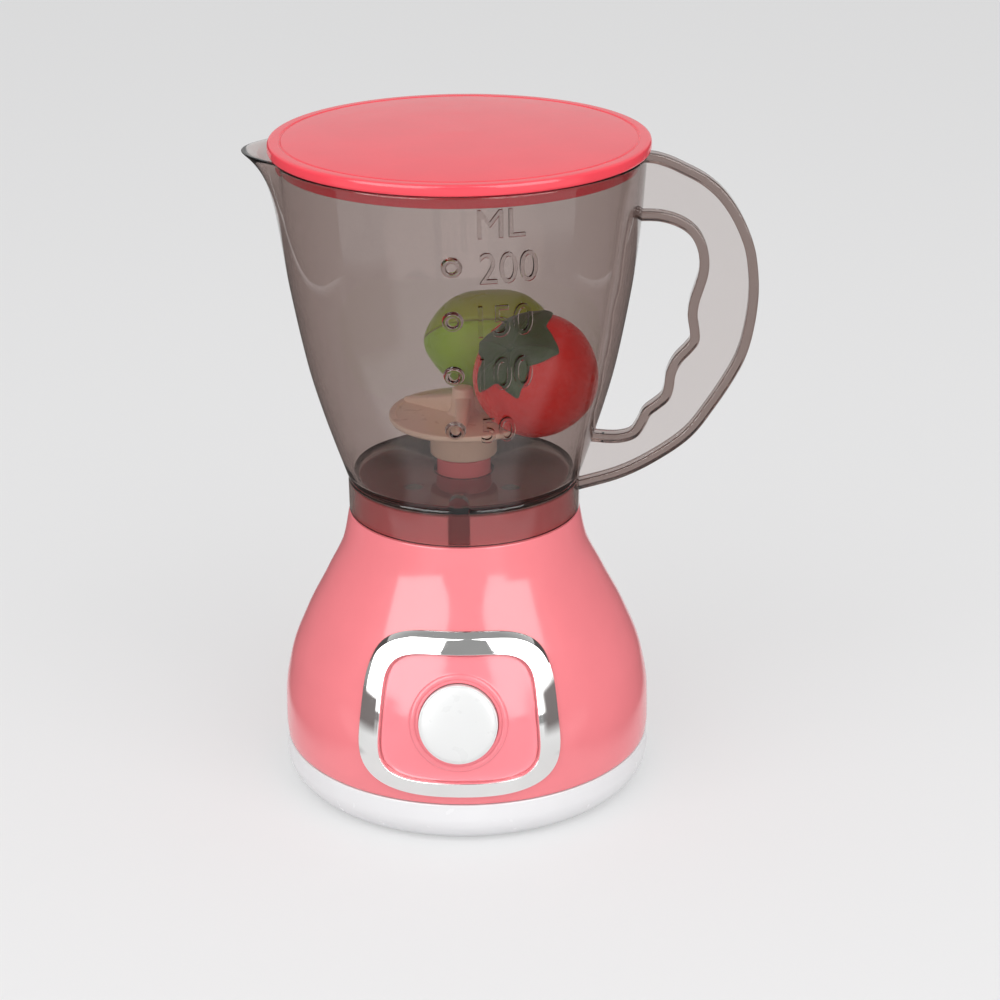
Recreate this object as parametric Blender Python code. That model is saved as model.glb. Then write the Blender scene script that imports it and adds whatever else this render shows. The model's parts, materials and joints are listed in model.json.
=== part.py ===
"""Toy blender on a battery base, modelled piece by piece.

Metres, +Z up. The foot stands on Z = 0 and the Z axis is the axis of the body, the jar and the turntable.
The front, with the push button, faces -Y. The handle is on +X and the pouring spout on -X.
"""
import math

import bmesh
import bpy
import numpy as np
from mathutils import Matrix, Vector

# Clearances and mesh steps
FIT_GAP = 0.0003
SHAFT_GAP = 0.00009
CUT_OVERRUN = 0.0020
CUTTER_DEPTH = 0.0100
CUTTER_RISE = 0.0040
MERGE_DISTANCE = 0.000001
BODY_STEPS = 36
RING_STEPS = 32
PART_STEPS = 20
SMALL_STEPS = 8
SMOOTH_ANGLE = 35.0
SOFT_SMOOTH_ANGLE = 60.0

# Body shell
BELLY_RADIUS = 0.0507
SHOULDER_RADIUS = 0.0314
SEAM_HEIGHT = 0.0122
BODY_HEIGHT = 0.0655
BODY_WALL = 0.0020
BODY_ROWS = 10
BODY_INNER_ROWS = 6
NARROWING_SHARE = 0.3
LOOKUP_STEPS = 200
# Height up the body, and radius between the shoulder and the belly
BODY_OUTLINE_SHARES = (
    (0.00, 0.985), (0.06, 0.998), (0.18, 0.990), (0.34, 0.900),
    (0.52, 0.666), (0.70, 0.355), (0.86, 0.100), (1.00, 0.000),
)

# Spigot that the jar stands on, and the tower that carries the drive through the jar's floor
SPIGOT_HEIGHT = 0.0083
SPIGOT_CHAMFER = 0.0008
TOWER_RADIUS = 0.0073
TOWER_WALL = 0.0020
TOWER_HEIGHT = 0.0069
KEY_WIDTH = 0.0052
KEY_DEPTH = 0.0016
KEY_PROUD = 0.0004

# Bottom pan
PAN_FOOT_INSET = 0.0069
PAN_FLOOR = 0.0020
PAN_WALL = 0.0020
PAN_TONGUE_HEIGHT = 0.0028
PAN_TONGUE_WALL = 0.0016
PAN_CURVE_ROWS = 5
PAN_CURVE_SHARE = 0.62

# Base screws and their bosses
BOSS_RADIUS = 0.0032
BOSS_INSET = 0.0097
BOSS_ANGLES = (40.0, 140.0, 220.0, 320.0)
BOSS_BITE = 0.0010
SCREW_RADIUS = 0.0011
SCREW_HEAD_RADIUS = 0.0024
SCREW_HEAD_HEIGHT = 0.0014
SCREW_LENGTH = 0.0110
SCREW_CROWN_SHARE = 0.85
SCREW_BITE_SHARE = 0.65
SCREW_SLOT_SHARE = 0.55
SCREW_SLOT_WIDTH = 0.0006
PAN_POST_RADIUS = 0.0042

# Button, control panel and bezel
PANEL_RISE = 0.0231
PANEL_WIDTH = 0.0205
PANEL_HEIGHT = 0.0163
PANEL_TAPER_SHARE = 0.071
PANEL_CORNER_POWER = 4.5
BEZEL_RISE = 0.0239
BEZEL_WIDTH = 0.0259
BEZEL_HEIGHT = 0.0212
BEZEL_TAPER_SHARE = 0.095
BEZEL_CORNER_POWER = 3.6
OUTLINE_STEPS = 28
BEZEL_PROUD = 0.0015
BEZEL_LIP = 0.0023
BEZEL_LIP_DEPTH = 0.0013
BEZEL_OVERLAP = 0.0009
PANEL_FACE_DEPTH = 0.0003
PANEL_THICKNESS = 0.0026
PANEL_FLANGE_THICKNESS = 0.0018
RING_INNER_RADIUS = 0.0115
RING_OUTER_RADIUS = 0.0131
RING_PROUD = 0.0004
WRAP_ANGLE = 42.0
WRAP_COLUMNS = 15
WRAP_ROWS = 6

BUTTON_RISE = 0.0229
BUTTON_TILT = 17.0
BUTTON_RADIUS = 0.0104
BUTTON_DOME = 0.0026
BUTTON_SKIRT = 0.0011
BUTTON_FLANGE = 0.0012
BUTTON_FLANGE_THICKNESS = 0.0012
BUTTON_TRAVEL = 0.0020
BUTTON_SLEEVE_RADIUS = 0.0026
BUTTON_SLEEVE_LENGTH = 0.0024
BUTTON_DOME_ROWS = 5

# Push switch, its spring and the circuit board behind the panel
STEM_RADIUS = 0.0016
STEM_LENGTH = 0.0050
SWITCH_SIZE = 0.0090
SWITCH_HEIGHT = 0.0064
SWITCH_BASE = 0.0010
SPRING_WIRE = 0.0005
SPRING_RADIUS = 0.0036
SPRING_CURLS = 4
SPRING_POINTS = 8
BOARD_WIDTH = 0.0400
BOARD_HEIGHT = 0.0240
BOARD_THICKNESS = 0.0015
BOARD_POST_REACH = 0.0160
BOARD_POST_RADIUS = 0.0023
BOARD_SCREW_LENGTH = 0.0060

# Jar
JAR_COLLAR_HEIGHT = 0.0108
JAR_WALL = 0.0017
JAR_FLOOR = 0.0020
JAR_WAIST_RADIUS = 0.0318
JAR_MOUTH_RADIUS = 0.0487
JAR_CONE_HEIGHT = 0.0880
JAR_FLOOR_HOLE_GAP = 0.0006
JAR_ROWS = 9
# Height up the cone, and radius between the waist and the mouth
JAR_OUTLINE_SHARES = (
    (0.000, 0.000), (0.125, 0.215), (0.205, 0.345), (0.330, 0.525), (0.424, 0.630),
    (0.560, 0.760), (0.650, 0.835), (0.810, 0.930), (1.000, 1.000),
)
SPOUT_REACH = 0.0084
SPOUT_FADE = 0.0062
SPOUT_HALF_ANGLE = 22.0
SPOUT_COLUMNS = 8
JAR_COLUMNS = 32
KEY_RISE = 0.0035
DOT_RADIUS = 0.0026
DOT_PROUD = 0.0007
# Dots, as shares of the cone's height
DOT_HEIGHT_SHARES = (0.283, 0.463, 0.634, 0.797)

# Handle, in the XZ plane
HANDLE_DEPTH = 0.0046
HANDLE_RAIL = 0.0026
HANDLE_WEB = 0.0010
HANDLE_REACH = 0.0294
HANDLE_FOOT_DROP = 0.0060
HANDLE_ROOT_BITE = 0.0009
HANDLE_TOP_DROP = 0.0006
# Centre line of the outer rail: reach past the jar's wall and drop from the rim
OUTER_RAIL_SHARES = (
    (-0.060, 0.015), (0.064, 0.017), (0.195, 0.029), (0.303, 0.044), (0.509, 0.077), (0.686, 0.122),
    (0.842, 0.185), (0.974, 0.261), (1.045, 0.328), (1.099, 0.404), (1.123, 0.492), (1.115, 0.575),
    (1.068, 0.643), (0.977, 0.731), (0.854, 0.822), (0.623, 0.894), (0.346, 0.945), (-0.046, 0.982),
)
# Centre line of the finger rail: reach past the jar's wall and drop from the rim
INNER_RAIL_SHARES = (
    (-0.022, 0.180), (0.087, 0.180), (0.185, 0.183), (0.308, 0.194), (0.423, 0.213), (0.509, 0.239),
    (0.573, 0.275), (0.608, 0.314), (0.615, 0.350), (0.602, 0.386), (0.586, 0.427), (0.594, 0.468),
    (0.642, 0.513), (0.660, 0.542), (0.622, 0.567), (0.550, 0.601), (0.524, 0.640), (0.542, 0.680),
    (0.540, 0.711), (0.488, 0.733), (0.419, 0.757), (0.402, 0.788), (0.367, 0.821), (0.273, 0.834),
    (0.146, 0.836), (-0.020, 0.831),
)
RAIL_CURVE_STEPS = 2

# Lid
LID_OVERHANG = 0.0010
LID_RIM_HEIGHT = 0.0030
LID_RIM_ROUND = 0.0008
LID_GROOVE_INSET = 0.0032
LID_GROOVE_DEPTH = 0.0004
LID_CROWN = 0.0013
# Reach and rise of the crown
LID_CROWN_SHARES = ((0.80, 0.36), (0.50, 0.75), (0.00, 1.00))
LID_PLATE = 0.0016
LID_PLUG_DEPTH = 0.0036
LID_PLUG_WALL = 0.0018
LID_PLUG_GAP = 0.0006

# Turntable
HUB_RADIUS = 0.0090
HUB_HEIGHT = 0.0097
HUB_TOWER_GAP = 0.0006
DISC_RADIUS = 0.0200
DISC_THICKNESS = 0.0018
DISC_UNDERCUT = 0.0010
POST_RADIUS = 0.0034
POST_HEIGHT = 0.0072
POST_FOOT_SHARE = 1.4
POST_TIP_SHARE = 0.8
FIN_COUNT = 3
FIN_START_ANGLE = -90.0
FIN_THICKNESS = 0.0018
FIN_TIP_HEIGHT = 0.0009
FIN_REACH_SHARE = 0.93
DRIVE_TIP_RADIUS = 0.0025
DRIVE_TIP_LENGTH = 0.0070
DRIVE_TIP_SIDES = 6
SOCKET_GAP = 0.00045

# Play food
TOMATO_RADIUS = 0.0165
TOMATO_SQUASH_SHARE = 0.96
TOMATO_REACH = (0.0196, -0.0089)
TOMATO_RISE = 0.0131
TOMATO_AXIS = Vector((-0.44, -0.57, 0.70))
TOMATO_DIMPLE_SHARE = 0.16
TOMATO_DIMPLE_POWER = 12
TOMATO_LOBES = 5
TOMATO_LOBE_SHARE = 0.018
LIME_LENGTH = 0.0188
LIME_RADIUS = 0.0136
LIME_REACH = (0.0070, 0.0200)
LIME_RISE = 0.0134
LIME_AXIS = Vector((-1.0, 0.06, 0.02))
# Way in from a tip to the middle, and radius
LIME_OUTLINE_SHARES = (
    (0.00, 0.00), (0.02, 0.13), (0.07, 0.24), (0.14, 0.37), (0.28, 0.62), (0.50, 0.87), (0.75, 0.98),
    (1.00, 1.00),
)
FOOD_COLUMNS = 24
# Past the turntable's edge a fruit may hang lower, by a slope
FOOD_EDGE_MARGIN = 0.0014
FOOD_EDGE_SLOPE = 2.0
FOOD_ROWS = 14

# Battery bay, door and cells
CELL_RADIUS = 0.0071
CELL_LENGTH = 0.0492
CELL_NUB_RADIUS = 0.0027
CELL_NUB_HEIGHT = 0.0013
CELL_SIDE_GAP = 0.0008
BAY_WALL = 0.0015
BAY_ROOF = 0.0015
CONTACT_THICKNESS = 0.0005
CONTACT_SPRING_LENGTH = 0.0042
CONTACT_SPRING_BASE = 0.0046
CONTACT_SPRING_TIP = 0.0026
CONTACT_SPRING_WIRE = 0.0005
CONTACT_SPRING_CURLS = 3
CONTACT_HEIGHT = 0.0100
CONTACT_WIDTH = 0.0090
DOOR_LIP = 0.0022
DOOR_THICKNESS = 0.0020
DOOR_LEDGE = 0.0012
DOOR_CORNER = 0.0020
DOOR_BOSS_RADIUS = 0.0032
DOOR_BOSS_HEIGHT = 0.0080
DOOR_SCREW_LENGTH = 0.0060
DOOR_SCREW_SEAT = 0.0012
DOOR_SCREW_HEAD = 0.0008
DOOR_TIP_STEPS = 8

# Gear train
MODULE = 0.0005
PINION_TEETH = 10
IDLER_TEETH = 36
IDLER_SMALL_TEETH = 12
OUTPUT_TEETH = 40
TOOTH_SHARE = 0.42
ADDENDUM_SHARE = 0.95
DEDENDUM_SHARE = 1.25
PRESSURE_ANGLE = 20.0
GEAR_WIDTH = 0.0030
GEAR_LAYER_GAP = 0.0008
MESH_PLAY = 0.00005
AXLE_RADIUS = 0.0010
SHAFT_RADIUS = 0.0015
MOTOR_SHAFT_RADIUS = 0.0010
OUTPUT_HUB_RADIUS = 0.0032

# Gearbox and motor
TRAY_DROP = 0.0257
TRAY_RADIUS = 0.0250
TRAY_OFFSET = 0.0045
TRAY_WALL = 0.0014
TRAY_FLOOR = 0.0018
COVER_THICKNESS = 0.0018
GEARBOX_POST_RADIUS = 0.0027
GEARBOX_POST_CIRCLE = 0.0200
GEARBOX_POST_ANGLES = (0.0, 180.0, 270.0)
GEARBOX_SCREW_LENGTH = 0.0190
MOTOR_RADIUS = 0.0100
MOTOR_HALF_WIDTH = 0.0076
MOTOR_CLEARANCE = 0.0077
MOTOR_NOSE_RADIUS = 0.0030
MOTOR_NOSE_HEIGHT = 0.0012
MOTOR_CAP_LENGTH = 0.0024
MOTOR_SHAFT_STUB = 0.0010
CRADLE_WALL = 0.0012
CRADLE_DEPTH = 0.0090
AXLE_SEAT = 0.0010

# Lights
LIGHT_RADIUS = 0.0025
LIGHT_FLANGE = 0.0004
LIGHT_FLANGE_HEIGHT = 0.0010
LIGHT_BODY = 0.0042
LIGHT_CIRCLE = 0.0170
LIGHT_ANGLES = (-140.0, -40.0)
LIGHT_DOME_ROWS = 4
LIGHT_DOME_SHARE = 0.36
LIGHT_LEG_LENGTH = 0.0060
LIGHT_LEG_WIDTH = 0.0006
LIGHT_LEG_SPACING = 0.0025

# Shaft bush
BUSH_RADIUS = 0.0032
BUSH_FLANGE_RADIUS = 0.0044
BUSH_FLANGE_HEIGHT = 0.0010

FINISHES = {
    "base_shell": ((1.00, 0.23, 0.27), 0.22, 0.0),
    "base_pan": ((0.88, 0.88, 0.90), 0.30, 0.0),
    "bezel": ((0.85, 0.85, 0.85), 0.06, 1.0),
    "control_panel": ((1.00, 0.30, 0.34), 0.25, 0.0),
    "power_button": ((0.93, 0.93, 0.94), 0.28, 0.0),
    "jar": ((0.10, 0.09, 0.09), 0.08, 0.0),
    "lid": ((0.98, 0.08, 0.13), 0.25, 0.0),
    "agitator": ((0.88, 0.78, 0.66), 0.35, 0.0),
    "play_tomato": ((0.80, 0.03, 0.02), 0.30, 0.0),
    "play_lime": ((0.28, 0.62, 0.06), 0.30, 0.0),
    "steel": ((0.62, 0.62, 0.63), 0.30, 1.0),
    "brass": ((0.72, 0.52, 0.22), 0.30, 1.0),
    "board": ((0.04, 0.22, 0.09), 0.45, 0.0),
    "black": ((0.03, 0.03, 0.03), 0.45, 0.0),
    "white": ((0.85, 0.85, 0.83), 0.40, 0.0),
    "cell": ((0.10, 0.11, 0.13), 0.35, 0.0),
    "light": ((0.92, 0.94, 0.96), 0.10, 0.0),
}


def clear_scene():
    """Remove whatever the file holds."""
    for item in list(bpy.data.objects):
        bpy.data.objects.remove(item, do_unlink=True)


def finish_material(node, finish):
    """Give one node its own Principled material."""
    colour, roughness, metallic = FINISHES[finish]
    material = bpy.data.materials.new(node)
    material.use_nodes = True
    shader = material.node_tree.nodes["Principled BSDF"]
    shader.inputs["Base Color"].default_value = (*colour, 1.0)
    shader.inputs["Roughness"].default_value = roughness
    shader.inputs["Metallic"].default_value = metallic
    return material


def add_solid(node, vertices, faces):
    """Make an object from points and faces, with every face turned outwards."""
    mesh = bpy.data.meshes.new(node)
    mesh.from_pydata([tuple(map(float, point)) for point in vertices], [], faces)
    work = bmesh.new()
    work.from_mesh(mesh)
    bmesh.ops.remove_doubles(work, verts=work.verts, dist=MERGE_DISTANCE)
    bmesh.ops.recalc_face_normals(work, faces=work.faces)
    work.to_mesh(mesh)
    work.free()
    solid = bpy.data.objects.new(node, mesh)
    bpy.context.scene.collection.objects.link(solid)
    return solid


def finish(solid, look, smooth_angle=SMOOTH_ANGLE):
    """Shade a finished piece and give it its material."""
    solid.data.materials.clear()
    solid.data.materials.append(finish_material(solid.name, look))
    solid.data.shade_smooth()
    solid.data.set_sharp_from_angle(angle=math.radians(smooth_angle))
    return solid


def combine(solid, tools, operation):
    """Apply a Boolean with each tool in turn and remove the tools."""
    for tool in tools:
        modifier = solid.modifiers.new("combine", "BOOLEAN")
        modifier.operation = operation
        modifier.solver = "EXACT"
        modifier.object = tool
        bpy.context.view_layer.update()
        depsgraph = bpy.context.evaluated_depsgraph_get()
        result = bpy.data.meshes.new_from_object(solid.evaluated_get(depsgraph))
        solid.modifiers.clear()
        old = solid.data
        solid.data = result
        bpy.data.meshes.remove(old)
        bpy.data.objects.remove(tool, do_unlink=True)
    work = bmesh.new()
    work.from_mesh(solid.data)
    bmesh.ops.remove_doubles(work, verts=work.verts, dist=MERGE_DISTANCE)
    bmesh.ops.dissolve_degenerate(work, edges=work.edges, dist=MERGE_DISTANCE)
    work.to_mesh(solid.data)
    work.free()
    return solid


def cut(solid, *tools):
    """Cut the tools out of a solid."""
    return combine(solid, tools, "DIFFERENCE")


def join(solid, *tools):
    """Add the tools to a solid."""
    return combine(solid, tools, "UNION")


def keep(solid, *tools):
    """Keep what the solid shares with every tool."""
    return combine(solid, tools, "INTERSECT")


def shift(solid, matrix):
    """Move a tool's mesh by a matrix and leave its object at the origin."""
    solid.data.transform(matrix)
    return solid


def place(solid, matrix):
    """Place a piece that was modelled round its own origin."""
    solid.matrix_world = matrix
    return solid


def seat(solid, x, y, z):
    """Give a piece that was modelled where it stands its own origin at a point."""
    solid.data.transform(Matrix.Translation((-x, -y, -z)))
    solid.location = (x, y, z)
    return solid


def even_angles(steps):
    """Angles that share a full turn evenly."""
    return [math.tau * index / steps for index in range(steps)]


def turned(node, outline, steps=PART_STEPS, angles=None):
    """Turn a closed (radius, height) outline round Z. A point on the axis becomes one pole."""
    angles = angles or even_angles(steps)
    steps = len(angles)
    vertices = []
    rings = []
    for radius, height in outline:
        if radius == 0:
            rings.append([len(vertices)] * steps)
            vertices.append((0, 0, height))
            continue
        rings.append(list(range(len(vertices), len(vertices) + steps)))
        for angle in angles:
            vertices.append((radius * math.cos(angle), radius * math.sin(angle), height))
    faces = []
    for row, ring in enumerate(rings):
        other = rings[(row + 1) % len(rings)]
        for index in range(steps):
            following = (index + 1) % steps
            corners = [ring[index], ring[following], other[following], other[index]]
            face = list(dict.fromkeys(corners))
            if len(face) > 2:
                faces.append(face)
    return add_solid(node, vertices, faces)


def prism(node, outline, low, high):
    """Raise a flat (x, y) outline from low to high."""
    count = len(outline)
    vertices = [(x, y, low) for x, y in outline] + [(x, y, high) for x, y in outline]
    faces = [list(range(count))[::-1], list(range(count, count * 2))]
    for index in range(count):
        following = (index + 1) % count
        faces.append([index, following, following + count, index + count])
    return add_solid(node, vertices, faces)


def circle(radius, steps=PART_STEPS, centre=(0, 0)):
    """Points of a circle."""
    x, y = centre
    return [(x + radius * math.cos(a), y + radius * math.sin(a)) for a in even_angles(steps)]


def rod(node, radius, low, high, centre=(0, 0), steps=PART_STEPS):
    """An upright cylinder."""
    return prism(node, circle(radius, steps, centre), low, high)


def block(node, low, high):
    """A box between two corners."""
    outline = [(low[0], low[1]), (high[0], low[1]), (high[0], high[1]), (low[0], high[1])]
    return prism(node, outline, low[2], high[2])


def polar(radius, degrees, centre=(0, 0)):
    """The point at a radius and an angle from +X."""
    angle = math.radians(degrees)
    return centre[0] + radius * math.cos(angle), centre[1] + radius * math.sin(angle)


def smooth_curve(table, share):
    """Read a table of (place, value) rows at share, on a smooth curve that never overshoots."""
    places = np.array([row[0] for row in table])
    values = np.array([row[1] for row in table])
    steps = np.diff(places)
    slopes = np.diff(values) / steps
    tangents = np.zeros_like(values)
    tangents[0] = slopes[0]
    tangents[-1] = slopes[-1]
    product = slopes[:-1] * slopes[1:]
    total = slopes[:-1] + slopes[1:]
    tangents[1:-1] = np.where(product > 0, 2 * product / np.where(total == 0, 1, total), 0)
    row = np.clip(np.searchsorted(places, share) - 1, 0, len(steps) - 1)
    t = (share - places[row]) / steps[row]
    rise = (3 - 2 * t) * t * t
    bend = tangents[row] * t * (1 - t) ** 2 - tangents[row + 1] * t * t * (1 - t)
    return values[row] + (values[row + 1] - values[row]) * rise + bend * steps[row]


def smooth_path(points, steps):
    """A Catmull-Rom curve through (x, z) points, with the same number of steps between each two."""
    points = [np.array(point) for point in points]
    padded = [2 * points[0] - points[1], *points, 2 * points[-1] - points[-2]]
    path = []
    for a, b, c, d in zip(padded, padded[1:], padded[2:], padded[3:]):
        for step in range(steps):
            t = step / steps
            path.append(0.5 * (2 * b + (c - a) * t + (2 * a - 5 * b + 4 * c - d) * t * t
                               + (3 * b - a - 3 * c + d) * t * t * t))
    path.append(points[-1])
    return path


def body_radius(height):
    """Outer radius of the body shell at a height above the floor."""
    share = smooth_curve(BODY_OUTLINE_SHARES, np.clip((height - SEAM_HEIGHT) / BODY_HEIGHT, 0, 1))
    return float(SHOULDER_RADIUS + (BELLY_RADIUS - SHOULDER_RADIUS) * share)


def body_height_of(radius):
    """Height at which the upper body narrows to a radius."""
    heights = SEAM_HEIGHT + BODY_HEIGHT * np.linspace(NARROWING_SHARE, 1, LOOKUP_STEPS)
    radii = np.array([body_radius(height) for height in heights])
    return float(np.interp(-radius, -radii, heights))


def jar_radius(height):
    """Outer radius of the jar's cone at a height above the floor."""
    share = smooth_curve(JAR_OUTLINE_SHARES, np.clip((height - JAR_FLOOR_TOP) / JAR_CONE_HEIGHT, 0, 1))
    return float(JAR_WAIST_RADIUS + (JAR_MOUTH_RADIUS - JAR_WAIST_RADIUS) * share)


# Turns a flat (x, y) outline into an (x, z) one
UPRIGHT = Matrix(((1, 0, 0, 0), (0, 0, -1, 0), (0, 1, 0, 0), (0, 0, 0, 1)))

# Sizes and heights that follow from the sizes above
PAN_FOOT_RADIUS = BELLY_RADIUS - PAN_FOOT_INSET
BOSS_CIRCLE = BELLY_RADIUS - BOSS_INSET
SHOULDER_HEIGHT = SEAM_HEIGHT + BODY_HEIGHT
SPIGOT_TOP = SHOULDER_HEIGHT + SPIGOT_HEIGHT
TOWER_TOP = SPIGOT_TOP + TOWER_HEIGHT
JAR_BOTTOM = SHOULDER_HEIGHT + FIT_GAP
JAR_FLOOR_TOP = JAR_BOTTOM + JAR_COLLAR_HEIGHT
JAR_FLOOR_UNDER = JAR_FLOOR_TOP - JAR_FLOOR
JAR_RIM = JAR_FLOOR_TOP + JAR_CONE_HEIGHT
JAR_COLLAR_INNER = SHOULDER_RADIUS - JAR_WALL
SPIGOT_RADIUS = JAR_COLLAR_INNER - FIT_GAP
FLOOR_HOLE_RADIUS = TOWER_RADIUS + JAR_FLOOR_HOLE_GAP
HUB_BOTTOM = TOWER_TOP + HUB_TOWER_GAP
DISC_TOP = HUB_BOTTOM + HUB_HEIGHT + DISC_THICKNESS
FOOD_FLOOR = DISC_TOP + FIT_GAP
TOMATO_PLACE = Vector((*TOMATO_REACH, FOOD_FLOOR + TOMATO_RISE))
LIME_PLACE = Vector((*LIME_REACH, FOOD_FLOOR + LIME_RISE))
HANDLE_HEIGHT = JAR_CONE_HEIGHT + HANDLE_FOOT_DROP
TIP_BOTTOM = TOWER_TOP + FIT_GAP
TRAY_HEIGHT = SHOULDER_HEIGHT - TRAY_DROP
TRAY_TOP = TRAY_HEIGHT + TRAY_FLOOR + GEAR_WIDTH * 2 + GEAR_LAYER_GAP * 3
COVER_BOTTOM = TRAY_TOP + FIT_GAP
COVER_TOP = COVER_BOTTOM + COVER_THICKNESS
LOWER_GEARS = TRAY_HEIGHT + TRAY_FLOOR + GEAR_LAYER_GAP
UPPER_GEARS = LOWER_GEARS + GEAR_WIDTH + GEAR_LAYER_GAP
OUTPUT_CENTRE = (0, 0)
IDLER_CENTRE = (0, MODULE * (OUTPUT_TEETH + IDLER_SMALL_TEETH) / 2 + MESH_PLAY)
MOTOR_CENTRE = (0, IDLER_CENTRE[1] + MODULE * (IDLER_TEETH + PINION_TEETH) / 2 + MESH_PLAY)
WRAP_MARGIN = BEZEL_HEIGHT - PANEL_HEIGHT + CUT_OVERRUN * 2
BUTTON_HEIGHT = SEAM_HEIGHT + BUTTON_RISE
PAN_POST_TOP = SEAM_HEIGHT + PAN_TONGUE_HEIGHT
BASE_SCREW_UNDER = PAN_POST_TOP - SCREW_LENGTH * (1 - SCREW_BITE_SHARE)
DOOR_TOP = DOOR_THICKNESS
CELL_AXIS = DOOR_TOP + FIT_GAP + CELL_RADIUS
BAY_ROOF_UNDER = CELL_AXIS + CELL_RADIUS + FIT_GAP
BAY_TOP = BAY_ROOF_UNDER + BAY_ROOF
MOTOR_LENGTH = TRAY_HEIGHT - FIT_GAP * 2 - MOTOR_CAP_LENGTH - BAY_TOP - MOTOR_CLEARANCE
CELL_SPACING = CELL_RADIUS * 2 + CELL_SIDE_GAP
BAY_HALF_DEPTH = CELL_SPACING / 2 + CELL_RADIUS + FIT_GAP
CELL_PITCH_LENGTH = CELL_LENGTH + CELL_NUB_HEIGHT
BAY_HALF_LENGTH = (CELL_PITCH_LENGTH + CONTACT_SPRING_LENGTH) / 2 + CONTACT_THICKNESS + FIT_GAP * 2
DOOR_HALF_DEPTH = BAY_HALF_DEPTH + DOOR_LIP
DOOR_HALF_LENGTH = BAY_HALF_LENGTH + DOOR_LIP
DOOR_SCREW_PLACE = (BAY_HALF_LENGTH + BAY_WALL + DOOR_BOSS_RADIUS + FIT_GAP, 0)

# Places along the button's axis, from the body's surface inwards
PANEL_EDGE_SAG = BUTTON_RADIUS * BUTTON_RADIUS / BELLY_RADIUS
FLANGE_TOP = -(BEZEL_LIP_DEPTH + FIT_GAP + PANEL_FLANGE_THICKNESS) - PANEL_EDGE_SAG
FLANGE_BOTTOM = FLANGE_TOP - BUTTON_FLANGE_THICKNESS
SLEEVE_BOTTOM = FLANGE_BOTTOM - BUTTON_SLEEVE_LENGTH
STEM_TOP = SLEEVE_BOTTOM - FIT_GAP
STEM_BOTTOM = STEM_TOP - STEM_LENGTH
SWITCH_FRONT = SLEEVE_BOTTOM - BUTTON_TRAVEL - FIT_GAP * 2
SWITCH_BACK = SWITCH_FRONT - SWITCH_HEIGHT
BOARD_FRONT = SWITCH_BACK - FIT_GAP
BOARD_BACK = BOARD_FRONT - BOARD_THICKNESS


def turned_wall(node, outer, inner, angles=None):
    """Turn a wall given by its outer points, bottom to top, and its inner points, bottom to top."""
    return turned(node, list(outer) + list(inner)[::-1], BODY_STEPS, angles)


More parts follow.
